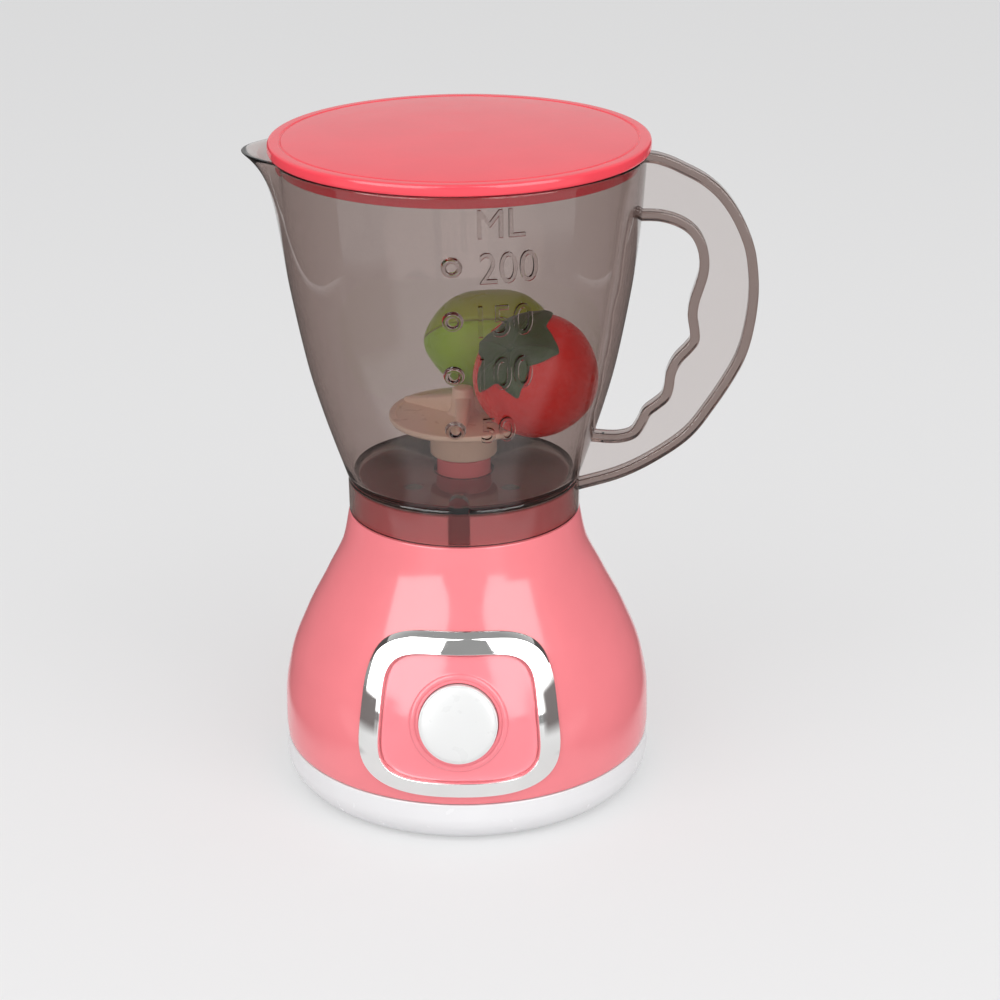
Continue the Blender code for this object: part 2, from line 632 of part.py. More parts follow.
def make_base_shell():
    """The bell body with its shoulder, spigot and tower, open at the bottom."""
    heights = np.linspace(SEAM_HEIGHT, SHOULDER_HEIGHT, BODY_ROWS)
    outer = [(body_radius(height), height) for height in heights]
    ceiling = SPIGOT_TOP - BODY_WALL
    spigot_inner = SPIGOT_RADIUS - BODY_WALL
    outer += [
        (SPIGOT_RADIUS, SHOULDER_HEIGHT),
        (SPIGOT_RADIUS, SPIGOT_TOP - SPIGOT_CHAMFER),
        (SPIGOT_RADIUS - SPIGOT_CHAMFER, SPIGOT_TOP),
        (TOWER_RADIUS - TOWER_WALL / 2, SPIGOT_TOP),
    ]
    inside_heights = np.linspace(SEAM_HEIGHT, SHOULDER_HEIGHT - BODY_WALL * 2, BODY_INNER_ROWS)
    inner = [(body_radius(height) - BODY_WALL, height) for height in inside_heights]
    inner += [
        (spigot_inner, SHOULDER_HEIGHT - BODY_WALL),
        (spigot_inner, ceiling),
        (TOWER_RADIUS - TOWER_WALL / 2, ceiling),
    ]
    shell = turned_wall("base_shell", outer, inner)
    tower = turned("tower", [
        (TOWER_RADIUS, ceiling + BODY_WALL / 2),
        (TOWER_RADIUS, TOWER_TOP - SPIGOT_CHAMFER),
        (TOWER_RADIUS - SPIGOT_CHAMFER, TOWER_TOP),
        (BUSH_RADIUS + FIT_GAP, TOWER_TOP),
        (BUSH_RADIUS + FIT_GAP, TOWER_TOP - TOWER_WALL),
        (TOWER_RADIUS - TOWER_WALL, TOWER_TOP - TOWER_WALL),
        (TOWER_RADIUS - TOWER_WALL, ceiling + BODY_WALL / 2),
    ], PART_STEPS)
    boss_top = body_height_of(BOSS_CIRCLE + BOSS_RADIUS + BOSS_BITE)
    boss_bottom = PAN_POST_TOP + FIT_GAP
    bosses = [tower]
    bores = []
    for angle in BOSS_ANGLES:
        centre = polar(BOSS_CIRCLE, angle)
        bosses.append(rod("boss", BOSS_RADIUS, boss_bottom, boss_top, centre, SMALL_STEPS))
        bore_top = BASE_SCREW_UNDER + SCREW_LENGTH + CUT_OVERRUN
        bores.append(rod("bore", SCREW_RADIUS + FIT_GAP, 0, bore_top, centre, SMALL_STEPS))
    for angle in GEARBOX_POST_ANGLES:
        centre = polar(GEARBOX_POST_CIRCLE, angle, (0, TRAY_OFFSET))
        bosses.append(rod("boss", GEARBOX_POST_RADIUS, COVER_TOP + FIT_GAP, ceiling + BODY_WALL / 2,
                          centre, SMALL_STEPS))
        bore_top = TRAY_HEIGHT - FIT_GAP + GEARBOX_SCREW_LENGTH + CUT_OVERRUN
        bores.append(rod("bore", SCREW_RADIUS + FIT_GAP, COVER_TOP, bore_top, centre, SMALL_STEPS))
    for angle in LIGHT_ANGLES:
        centre = polar(LIGHT_CIRCLE, angle)
        bores.append(rod("bore", LIGHT_RADIUS + FIT_GAP, ceiling - CUT_OVERRUN, SPIGOT_TOP + CUT_OVERRUN,
                         centre, PART_STEPS))
    slot_half = KEY_WIDTH / 2 + FIT_GAP
    bores.append(block("slot", (-slot_half, -SPIGOT_RADIUS - CUT_OVERRUN, SHOULDER_HEIGHT + MERGE_DISTANCE),
                       (slot_half, -SPIGOT_RADIUS + KEY_DEPTH + FIT_GAP, SPIGOT_TOP + CUT_OVERRUN)))
    bores.append(front_prism("aperture", panel_outline(BEZEL_LIP + FIT_GAP)))
    join(shell, *bosses)
    cut(shell, *bores)
    return finish(seat(shell, 0, 0, SEAM_HEIGHT), "base_shell")


def squircle(width, height, power, taper, rise):
    """A rounded trapezoid in XZ: a superellipse whose width shrinks with height."""
    outline = []
    for index in range(OUTLINE_STEPS):
        angle = math.tau * index / OUTLINE_STEPS
        across = math.copysign(abs(math.cos(angle)) ** (2 / power), math.cos(angle))
        up = math.copysign(abs(math.sin(angle)) ** (2 / power), math.sin(angle))
        outline.append((width * across * (1 - taper * up), SEAM_HEIGHT + rise + height * up))
    return outline


def panel_outline(margin):
    """The panel's outline, grown by a margin."""
    return squircle(PANEL_WIDTH + margin, PANEL_HEIGHT + margin, PANEL_CORNER_POWER, PANEL_TAPER_SHARE,
                    PANEL_RISE)


def bezel_outline():
    """The bezel's outer outline."""
    return squircle(BEZEL_WIDTH, BEZEL_HEIGHT, BEZEL_CORNER_POWER, BEZEL_TAPER_SHARE, BEZEL_RISE)


def front_prism(node, outline):
    """Stand an XZ outline in front of the body, through its front wall only."""
    solid = prism(node, outline, -BELLY_RADIUS * 3 / 2, -BELLY_RADIUS / 2)
    shift(solid, Matrix(((1, 0, 0, 0), (0, 0, 1, 0), (0, 1, 0, 0), (0, 0, 0, 1))))
    work = bmesh.new()
    work.from_mesh(solid.data)
    bmesh.ops.recalc_face_normals(work, faces=work.faces)
    work.to_mesh(solid.data)
    work.free()
    return solid


def wrap(node, outside, inside, margin):
    """A sheet that follows the front of the body, from one offset to another."""
    low = SEAM_HEIGHT + PANEL_RISE - PANEL_HEIGHT - margin
    high = SEAM_HEIGHT + PANEL_RISE + PANEL_HEIGHT + margin
    heights = np.linspace(low, high, WRAP_ROWS)
    angles = np.radians(np.linspace(-90 - WRAP_ANGLE, -90 + WRAP_ANGLE, WRAP_COLUMNS))
    vertices = []
    for offset in (outside, inside):
        for height in heights:
            radius = body_radius(max(height, SEAM_HEIGHT)) + offset
            vertices += [(radius * math.cos(a), radius * math.sin(a), height) for a in angles]
    layer = WRAP_ROWS * WRAP_COLUMNS
    faces = []
    for row in range(WRAP_ROWS - 1):
        for column in range(WRAP_COLUMNS - 1):
            a = row * WRAP_COLUMNS + column
            face = [a, a + 1, a + 1 + WRAP_COLUMNS, a + WRAP_COLUMNS]
            faces += [face, [corner + layer for corner in face[::-1]]]
    for column in range(WRAP_COLUMNS - 1):
        for a in (column, column + layer - WRAP_COLUMNS):
            faces.append([a, a + 1, a + 1 + layer, a + layer])
    for row in range(WRAP_ROWS - 1):
        for a in (row * WRAP_COLUMNS, row * WRAP_COLUMNS + WRAP_COLUMNS - 1):
            faces.append([a, a + WRAP_COLUMNS, a + WRAP_COLUMNS + layer, a + layer])
    return add_solid(node, vertices, faces)


def button_frame():
    """Matrix of the button: its local +Z runs out of the panel along the button's travel."""
    tilt = math.radians(BUTTON_TILT)
    outward = Vector((0, -math.cos(tilt), math.sin(tilt)))
    across = Vector((1, 0, 0))
    up = outward.cross(across)
    centre = Vector((0, -body_radius(BUTTON_HEIGHT), BUTTON_HEIGHT))
    matrix = Matrix((across, up, outward)).transposed().to_4x4()
    matrix.translation = centre
    return matrix


def make_bezel():
    """The chrome frame: a proud flange on the shell and a lip that reaches into the aperture."""
    flange = wrap("bezel", BEZEL_PROUD, FIT_GAP, WRAP_MARGIN)
    keep(flange, front_prism("outline", bezel_outline()))
    lip = wrap("lip", BEZEL_OVERLAP, -BEZEL_LIP_DEPTH, WRAP_MARGIN)
    keep(lip, front_prism("outline", panel_outline(BEZEL_LIP)))
    join(flange, lip)
    cut(flange, front_prism("window", panel_outline(0)))
    return finish(seat(flange, *button_frame().translation), "bezel")


def make_control_panel():
    """The panel: a face inside the bezel, a flange behind its lip, a ring and two board posts."""
    face_back = PANEL_FACE_DEPTH + PANEL_THICKNESS
    flange_front = BEZEL_LIP_DEPTH + FIT_GAP
    panel = wrap("control_panel", -PANEL_FACE_DEPTH, -face_back, WRAP_MARGIN)
    keep(panel, front_prism("outline", panel_outline(-FIT_GAP)))
    flange = wrap("flange", -flange_front, -flange_front - PANEL_FLANGE_THICKNESS, WRAP_MARGIN)
    keep(flange, front_prism("outline", panel_outline(BEZEL_LIP)))
    ring = wrap("ring", RING_PROUD - PANEL_FACE_DEPTH, -face_back + PANEL_THICKNESS / 2, WRAP_MARGIN)
    frame = button_frame()
    keep(ring, shift(rod("sleeve", RING_OUTER_RADIUS, -CUTTER_DEPTH, CUTTER_RISE), frame))
    cut(ring, shift(rod("sleeve", RING_INNER_RADIUS, -CUTTER_DEPTH, CUTTER_RISE), frame))
    join(panel, flange, ring)
    sag = body_radius(BUTTON_HEIGHT)
    sag -= math.sqrt(sag * sag - (BOARD_POST_REACH + BOARD_POST_RADIUS) ** 2)
    post_top = -sag - PANEL_FACE_DEPTH - PANEL_THICKNESS / 4
    posts = []
    bores = [shift(rod("bore", BUTTON_RADIUS + FIT_GAP, -CUTTER_DEPTH, CUTTER_RISE), frame)]
    for side in (-1, 1):
        centre = (side * BOARD_POST_REACH, 0)
        post = rod("post", BOARD_POST_RADIUS, BOARD_FRONT + FIT_GAP, post_top, centre, SMALL_STEPS)
        posts.append(shift(post, frame))
        bore = rod("bore", SCREW_RADIUS + FIT_GAP, BOARD_FRONT - CUT_OVERRUN,
                   BOARD_FRONT + BOARD_SCREW_LENGTH, centre, SMALL_STEPS)
        bores.append(shift(bore, frame))
    join(panel, *posts)
    cut(panel, *bores)
    return finish(seat(panel, *button_frame().translation), "control_panel")


def make_power_button():
    """The domed cap with a flange behind the panel and a short sleeve inside."""
    rows = range(BUTTON_DOME_ROWS + 1)
    dome = []
    for row in rows:
        angle = math.pi / 2 * row / BUTTON_DOME_ROWS
        radius = BUTTON_RADIUS * math.sin(angle) if row else 0
        dome.append((radius, BUTTON_SKIRT + (BUTTON_DOME - BUTTON_SKIRT) * math.cos(angle)))
    outline = dome + [
        (BUTTON_RADIUS, FLANGE_TOP),
        (BUTTON_RADIUS + BUTTON_FLANGE, FLANGE_TOP),
        (BUTTON_RADIUS + BUTTON_FLANGE, FLANGE_BOTTOM),
        (BUTTON_SLEEVE_RADIUS, FLANGE_BOTTOM),
        (BUTTON_SLEEVE_RADIUS, SLEEVE_BOTTOM),
        (0, SLEEVE_BOTTOM),
    ]
    button = turned("power_button", outline, PART_STEPS + SMALL_STEPS // 2)
    return finish(place(button, button_frame()), "power_button")


def helix(node, radius_low, radius_high, low, high, curls, wire, look, matrix):
    """A spring as one tube along a helix that may narrow; prints the least gap between its curls."""
    count = curls * SPRING_POINTS + 1
    shares = np.linspace(0, 1, count)
    angles = math.tau * curls * shares
    radii = radius_low + (radius_high - radius_low) * shares
    heights = low + wire / 2 + (high - low - wire) * shares
    points = np.column_stack((radii * np.cos(angles), radii * np.sin(angles), heights))
    apart = np.linalg.norm(points[SPRING_POINTS:] - points[:-SPRING_POINTS], axis=1).min() - wire
    print(node, "least gap between curls", round(float(apart) * 1000, 3), "mm")
    curve = bpy.data.curves.new(node, "CURVE")
    curve.dimensions = "3D"
    curve.bevel_depth = wire / 2
    curve.bevel_resolution = 1
    curve.use_fill_caps = True
    spline = curve.splines.new("POLY")
    spline.points.add(count - 1)
    spline.points.foreach_set("co", np.column_stack((points, np.ones(count))).ravel())
    guide = bpy.data.objects.new(node, curve)
    bpy.context.scene.collection.objects.link(guide)
    bpy.context.view_layer.update()
    mesh = bpy.data.meshes.new_from_object(guide.evaluated_get(bpy.context.evaluated_depsgraph_get()))
    bpy.data.objects.remove(guide, do_unlink=True)
    spring = bpy.data.objects.new(node, mesh)
    bpy.context.scene.collection.objects.link(spring)
    place(spring, matrix)
    work = bmesh.new()
    work.from_mesh(mesh)
    bmesh.ops.remove_doubles(work, verts=work.verts, dist=MERGE_DISTANCE)
    bmesh.ops.recalc_face_normals(work, faces=work.faces)
    work.to_mesh(mesh)
    work.free()
    return finish(spring, look, SOFT_SMOOTH_ANGLE)


def make_switch():
    """Behind the button: the switch body on the board, its stem, the spring and the board."""
    frame = button_frame()
    half = SWITCH_SIZE / 2
    switch = block("switch_body", (-half, -half, SWITCH_BACK), (half, half, SWITCH_FRONT))
    cut(switch, rod("bore", STEM_RADIUS + FIT_GAP, SWITCH_BACK + SWITCH_BASE, SWITCH_FRONT + CUT_OVERRUN))
    finish(place(switch, frame), "black")
    stem = rod("switch_stem", STEM_RADIUS, STEM_BOTTOM, STEM_TOP)
    finish(place(stem, frame), "white")
    helix("button_spring", SPRING_RADIUS, SPRING_RADIUS, SWITCH_FRONT + FIT_GAP, FLANGE_BOTTOM - FIT_GAP,
          SPRING_CURLS, SPRING_WIRE, "steel", frame)
    board = block("circuit_board", (-BOARD_WIDTH / 2, -BOARD_HEIGHT / 2, BOARD_BACK),
                  (BOARD_WIDTH / 2, BOARD_HEIGHT / 2, BOARD_FRONT))
    holes = []
    for side in (-1, 1):
        centre = (side * BOARD_POST_REACH, 0)
        holes.append(rod("hole", SCREW_RADIUS + FIT_GAP, BOARD_BACK - CUT_OVERRUN,
                         BOARD_FRONT + CUT_OVERRUN, centre, SMALL_STEPS))
    cut(board, *holes)
    finish(place(board, frame), "board")
    for number, side in enumerate((-1, 1), 1):
        screw = make_screw(f"board_screw_{number}", BOARD_SCREW_LENGTH)
        move = Matrix.Translation((side * BOARD_POST_REACH, 0, BOARD_BACK - FIT_GAP))
        finish(place(screw, frame @ move), "steel")


def make_screw(node, length, head=SCREW_HEAD_HEIGHT):
    """A slotted pan-head screw that points up, with the underside of its head at Z = 0."""
    outline = [
        (0, -head),
        (SCREW_HEAD_RADIUS * SCREW_CROWN_SHARE, -head),
        (SCREW_HEAD_RADIUS, 0),
        (SCREW_RADIUS, 0),
        (SCREW_RADIUS, length - SCREW_RADIUS),
        (0, length),
    ]
    screw = turned(node, outline, SMALL_STEPS)
    half = SCREW_SLOT_WIDTH / 2
    cut(screw, block("slot", (-SCREW_HEAD_RADIUS * 2, -half, -head - CUT_OVERRUN),
                     (SCREW_HEAD_RADIUS * 2, half, -head * SCREW_SLOT_SHARE)))
    return screw


def make_base_pan():
    """The white pan: curved outside, a tongue inside the shell, the battery bay and screw posts."""
    rim_radius = body_radius(SEAM_HEIGHT)
    top = SEAM_HEIGHT - FIT_GAP
    tongue_outer = rim_radius - BODY_WALL - FIT_GAP
    tongue_inner = tongue_outer - PAN_TONGUE_WALL
    curve = []
    for row in range(PAN_CURVE_ROWS + 1):
        angle = math.pi / 2 * row / PAN_CURVE_ROWS
        radius = PAN_FOOT_RADIUS + (BELLY_RADIUS - PAN_FOOT_RADIUS) * math.sin(angle)
        height = SEAM_HEIGHT * PAN_CURVE_SHARE * (1 - math.cos(angle))
        curve.append((radius, height))
    outline = [(0, 0)] + curve + [
        (rim_radius, top),
        (tongue_outer, top),
        (tongue_outer, PAN_POST_TOP),
        (tongue_inner, PAN_POST_TOP),
        (tongue_inner, SEAM_HEIGHT / 2),
        (PAN_FOOT_RADIUS - PAN_WALL / 2, PAN_FLOOR),
        (0, PAN_FLOOR),
    ]
    pan = turned("base_pan", outline, BODY_STEPS)
    bay = block("bay", (-BAY_HALF_LENGTH - BAY_WALL, -BAY_HALF_DEPTH - BAY_WALL, DOOR_TOP + FIT_GAP),
                (BAY_HALF_LENGTH + BAY_WALL, BAY_HALF_DEPTH + BAY_WALL, BAY_TOP))
    boss = rod("boss", DOOR_BOSS_RADIUS, DOOR_TOP + FIT_GAP, DOOR_TOP + DOOR_BOSS_HEIGHT, DOOR_SCREW_PLACE,
               SMALL_STEPS)
    posts = []
    bores = []
    for angle in BOSS_ANGLES:
        centre = polar(BOSS_CIRCLE, angle)
        posts.append(rod("post", PAN_POST_RADIUS, PAN_FLOOR / 2, PAN_POST_TOP, centre, SMALL_STEPS))
        bores.append(rod("well", SCREW_HEAD_RADIUS + FIT_GAP, -CUT_OVERRUN, BASE_SCREW_UNDER + FIT_GAP,
                         centre, SMALL_STEPS))
        bores.append(rod("bore", SCREW_RADIUS + FIT_GAP, -CUT_OVERRUN, PAN_POST_TOP + CUT_OVERRUN,
                         centre, SMALL_STEPS))
    ledge = prism("ledge", door_outline(DOOR_LIP), PAN_FLOOR / 2, DOOR_TOP + FIT_GAP + DOOR_LEDGE)
    join(pan, ledge, bay, boss, *posts)
    cut(pan, prism("opening", door_outline(FIT_GAP), -CUT_OVERRUN, DOOR_TOP + FIT_GAP))
    hollow = block("hollow", (-BAY_HALF_LENGTH, -BAY_HALF_DEPTH, 0),
                   (BAY_HALF_LENGTH, BAY_HALF_DEPTH, BAY_ROOF_UNDER))
    thread = rod("thread", SCREW_RADIUS + FIT_GAP, 0, DOOR_SCREW_SEAT + DOOR_SCREW_LENGTH + SCREW_RADIUS,
                 DOOR_SCREW_PLACE, SMALL_STEPS)
    cut(pan, hollow, thread, *bores)
    return finish(pan, "base_pan")


def door_outline(margin):
    """The door: a rectangle over the bay with a narrower rounded tab round its screw."""
    deep = DOOR_HALF_DEPTH + margin
    high = DOOR_HALF_LENGTH + margin
    tab = DOOR_BOSS_RADIUS + DOOR_LIP + margin
    tip = []
    for step in range(DOOR_TIP_STEPS + 1):
        angle = -math.pi / 2 + math.pi * step / DOOR_TIP_STEPS
        tip.append((DOOR_SCREW_PLACE[0] + tab * math.cos(angle), tab * math.sin(angle)))
    return [(DOOR_CORNER - high, -deep), (high, -deep), (high, -tab)] + tip + [
        (high, tab), (high, deep), (DOOR_CORNER - high, deep), (-high, deep - DOOR_CORNER),
        (-high, DOOR_CORNER - deep)]


def make_battery_door():
    """The door under the bay, and its screw."""
    door = prism("battery_door", door_outline(0), 0, DOOR_TOP)
    cut(door, rod("hole", SCREW_RADIUS + FIT_GAP, -CUT_OVERRUN, DOOR_TOP + CUT_OVERRUN, DOOR_SCREW_PLACE,
                  SMALL_STEPS),
        rod("seat", SCREW_HEAD_RADIUS + FIT_GAP, -CUT_OVERRUN, DOOR_SCREW_SEAT,
            DOOR_SCREW_PLACE, SMALL_STEPS))
    finish(door, "base_pan")
    screw = make_screw("door_screw", DOOR_SCREW_LENGTH, DOOR_SCREW_HEAD)
    seat = DOOR_SCREW_SEAT - FIT_GAP
    finish(place(screw, Matrix.Translation((*DOOR_SCREW_PLACE, seat))), "steel")


def make_cells():
    """Two cells side by side, their springs and their contact plates."""
    outline = [
        (0, 0), (CELL_RADIUS, 0), (CELL_RADIUS, CELL_LENGTH), (CELL_NUB_RADIUS, CELL_LENGTH),
        (CELL_NUB_RADIUS, CELL_PITCH_LENGTH), (0, CELL_PITCH_LENGTH),
    ]
    plate_low = CELL_AXIS - CONTACT_HEIGHT / 2
    for number, side in enumerate((-1, 1), 1):
        across = side * CELL_SPACING / 2
        towards = Matrix.Rotation(math.pi / 2 * side, 4, "Y")
        spring_end = -side * BAY_HALF_LENGTH
        spring_face = spring_end + side * (CONTACT_THICKNESS + FIT_GAP)
        cell_start = spring_face + side * CONTACT_SPRING_LENGTH
        cell = turned(f"battery_cell_{number}", outline, PART_STEPS)
        finish(place(cell, Matrix.Translation((cell_start, across, CELL_AXIS)) @ towards), "cell")
        helix(f"battery_spring_{number}", CONTACT_SPRING_BASE, CONTACT_SPRING_TIP, FIT_GAP,
              CONTACT_SPRING_LENGTH - FIT_GAP, CONTACT_SPRING_CURLS, CONTACT_SPRING_WIRE, "steel",
              Matrix.Translation((spring_face, across, CELL_AXIS)) @ towards)
    reach = CELL_SPACING / 2 + CONTACT_WIDTH / 2
    wall = BAY_HALF_LENGTH - FIT_GAP
    bridge = block("contact_bridge", (wall - CONTACT_THICKNESS, -reach, plate_low),
                   (wall, reach, plate_low + CONTACT_HEIGHT))
    finish(seat(bridge, wall, 0, CELL_AXIS), "steel")
    for name, side in (("contact_minus", -1), ("contact_plus", 1)):
        middle = side * CELL_SPACING / 2
        plate = block(name, (-wall, middle - CONTACT_WIDTH / 2, plate_low),
                      (CONTACT_THICKNESS - wall, middle + CONTACT_WIDTH / 2, plate_low + CONTACT_HEIGHT))
        finish(seat(plate, -wall, middle, CELL_AXIS), "steel")


def gear_outline(teeth, turn):
    """Straight-flanked points inside involute teeth, with the first tooth's middle at angle turn."""
    pitch = MODULE * teeth / 2
    tip = pitch + MODULE * ADDENDUM_SHARE
    root = pitch - MODULE * DEDENDUM_SHARE
    base = pitch * math.cos(math.radians(PRESSURE_ANGLE))

    def involute(radius):
        ratio = math.acos(min(1.0, base / radius))
        return math.tan(ratio) - ratio

    half_at_pitch = math.pi / teeth * TOOTH_SHARE
    half_at_tip = half_at_pitch + involute(pitch) - involute(tip)
    half_at_root = half_at_pitch + involute(pitch) - involute(max(root, base))
    points = []
    for tooth in range(teeth):
        middle = turn + math.tau * tooth / teeth
        for radius, offset in ((root, -half_at_root), (tip, -half_at_tip), (tip, half_at_tip),
                               (root, half_at_root)):
            points.append((radius * math.cos(middle + offset), radius * math.sin(middle + offset)))
    return points


def gear(node, teeth, low, high, centre, turn):
    """A spur gear as a prism."""
    outline = [(centre[0] + x, centre[1] + y) for x, y in gear_outline(teeth, turn)]
    return prism(node, outline, low, high)


def make_gears():
    """Pinion, compound idler with its axle, output gear with its hub, and the drive shaft."""
    lower_top = LOWER_GEARS + GEAR_WIDTH
    upper_top = UPPER_GEARS + GEAR_WIDTH
    quarter = math.pi / 2
    pinion = gear("motor_pinion", PINION_TEETH, LOWER_GEARS, lower_top, MOTOR_CENTRE,
                  -quarter + math.pi / PINION_TEETH)
    cut(pinion, rod("bore", MOTOR_SHAFT_RADIUS + SHAFT_GAP, LOWER_GEARS - CUT_OVERRUN,
                    lower_top + CUT_OVERRUN, MOTOR_CENTRE, SMALL_STEPS))
    finish(seat(pinion, *MOTOR_CENTRE, LOWER_GEARS), "brass")
    idler = gear("idler_gear", IDLER_TEETH, LOWER_GEARS, lower_top, IDLER_CENTRE, quarter)
    join(idler, gear("small", IDLER_SMALL_TEETH, lower_top - GEAR_WIDTH / 2, upper_top, IDLER_CENTRE,
                     -quarter + math.pi / IDLER_SMALL_TEETH))
    cut(idler, rod("bore", AXLE_RADIUS + SHAFT_GAP, LOWER_GEARS - CUT_OVERRUN, upper_top + CUT_OVERRUN,
                   IDLER_CENTRE, PART_STEPS))
    finish(seat(idler, *IDLER_CENTRE, LOWER_GEARS), "white")
    axle = rod("idler_axle", AXLE_RADIUS, TRAY_HEIGHT + AXLE_SEAT, COVER_BOTTOM + AXLE_SEAT - FIT_GAP,
               IDLER_CENTRE, PART_STEPS)
    finish(seat(axle, *IDLER_CENTRE, LOWER_GEARS), "steel")
    output = gear("output_gear", OUTPUT_TEETH, UPPER_GEARS, upper_top, OUTPUT_CENTRE, quarter)
    hub = rod("hub", OUTPUT_HUB_RADIUS, LOWER_GEARS, UPPER_GEARS + GEAR_WIDTH / 2, OUTPUT_CENTRE,
              PART_STEPS)
    join(output, hub)
    cut(output, rod("bore", SHAFT_RADIUS + SHAFT_GAP, LOWER_GEARS - CUT_OVERRUN, upper_top + CUT_OVERRUN,
                    OUTPUT_CENTRE, PART_STEPS))
    finish(seat(output, *OUTPUT_CENTRE, LOWER_GEARS), "white")
    shaft = rod("drive_shaft", SHAFT_RADIUS, TRAY_HEIGHT + AXLE_SEAT, TIP_BOTTOM + GEAR_LAYER_GAP,
                OUTPUT_CENTRE, PART_STEPS)
    join(shaft, rod("tip", DRIVE_TIP_RADIUS, TIP_BOTTOM, TIP_BOTTOM + DRIVE_TIP_LENGTH, OUTPUT_CENTRE,
                    DRIVE_TIP_SIDES))
    finish(seat(shaft, *OUTPUT_CENTRE, LOWER_GEARS), "steel")
    bush = turned("shaft_bush", [
        (SHAFT_RADIUS + SHAFT_GAP, TOWER_TOP - TOWER_WALL - BUSH_FLANGE_HEIGHT - FIT_GAP),
        (BUSH_FLANGE_RADIUS, TOWER_TOP - TOWER_WALL - BUSH_FLANGE_HEIGHT - FIT_GAP),
        (BUSH_FLANGE_RADIUS, TOWER_TOP - TOWER_WALL - FIT_GAP),
        (BUSH_RADIUS, TOWER_TOP - TOWER_WALL - FIT_GAP),
        (BUSH_RADIUS, TOWER_TOP),
        (SHAFT_RADIUS + SHAFT_GAP, TOWER_TOP),
    ])
    finish(seat(bush, 0, 0, TOWER_TOP), "white")


def motor_outline(margin):
    """The can's section: a circle with two flat sides."""
    points = []
    for x, y in circle(MOTOR_RADIUS + margin, PART_STEPS):
        flat = MOTOR_HALF_WIDTH + margin
        points.append((max(-flat, min(flat, x)) + MOTOR_CENTRE[0], y + MOTOR_CENTRE[1]))
    cleaned = []
    for point in points:
        if not cleaned or math.dist(cleaned[-1], point) > MERGE_DISTANCE:
            cleaned.append(point)
    return cleaned


def make_motor():
    """Motor can with its nose, the plastic end cap and the motor shaft."""
    top = TRAY_HEIGHT - FIT_GAP
    bottom = top - MOTOR_LENGTH
    can = prism("motor_can", motor_outline(0), bottom, top)
    join(can, rod("nose", MOTOR_NOSE_RADIUS, top - MOTOR_NOSE_HEIGHT, top + MOTOR_NOSE_HEIGHT, MOTOR_CENTRE,
                  PART_STEPS))
    cut(can, rod("bore", MOTOR_SHAFT_RADIUS + SHAFT_GAP, top - MOTOR_LENGTH / 2,
                 top + MOTOR_NOSE_HEIGHT + CUT_OVERRUN, MOTOR_CENTRE, SMALL_STEPS))
    finish(seat(can, *MOTOR_CENTRE, top), "steel")
    cap = prism("motor_end_cap", motor_outline(-CRADLE_WALL / 2), bottom - FIT_GAP - MOTOR_CAP_LENGTH,
                bottom - FIT_GAP)
    finish(seat(cap, *MOTOR_CENTRE, bottom), "white")
    shaft = rod("motor_shaft", MOTOR_SHAFT_RADIUS, top - MOTOR_LENGTH / 2 + FIT_GAP,
                LOWER_GEARS + GEAR_WIDTH + MOTOR_SHAFT_STUB, MOTOR_CENTRE, SMALL_STEPS)
    finish(seat(shaft, *MOTOR_CENTRE, LOWER_GEARS), "steel")


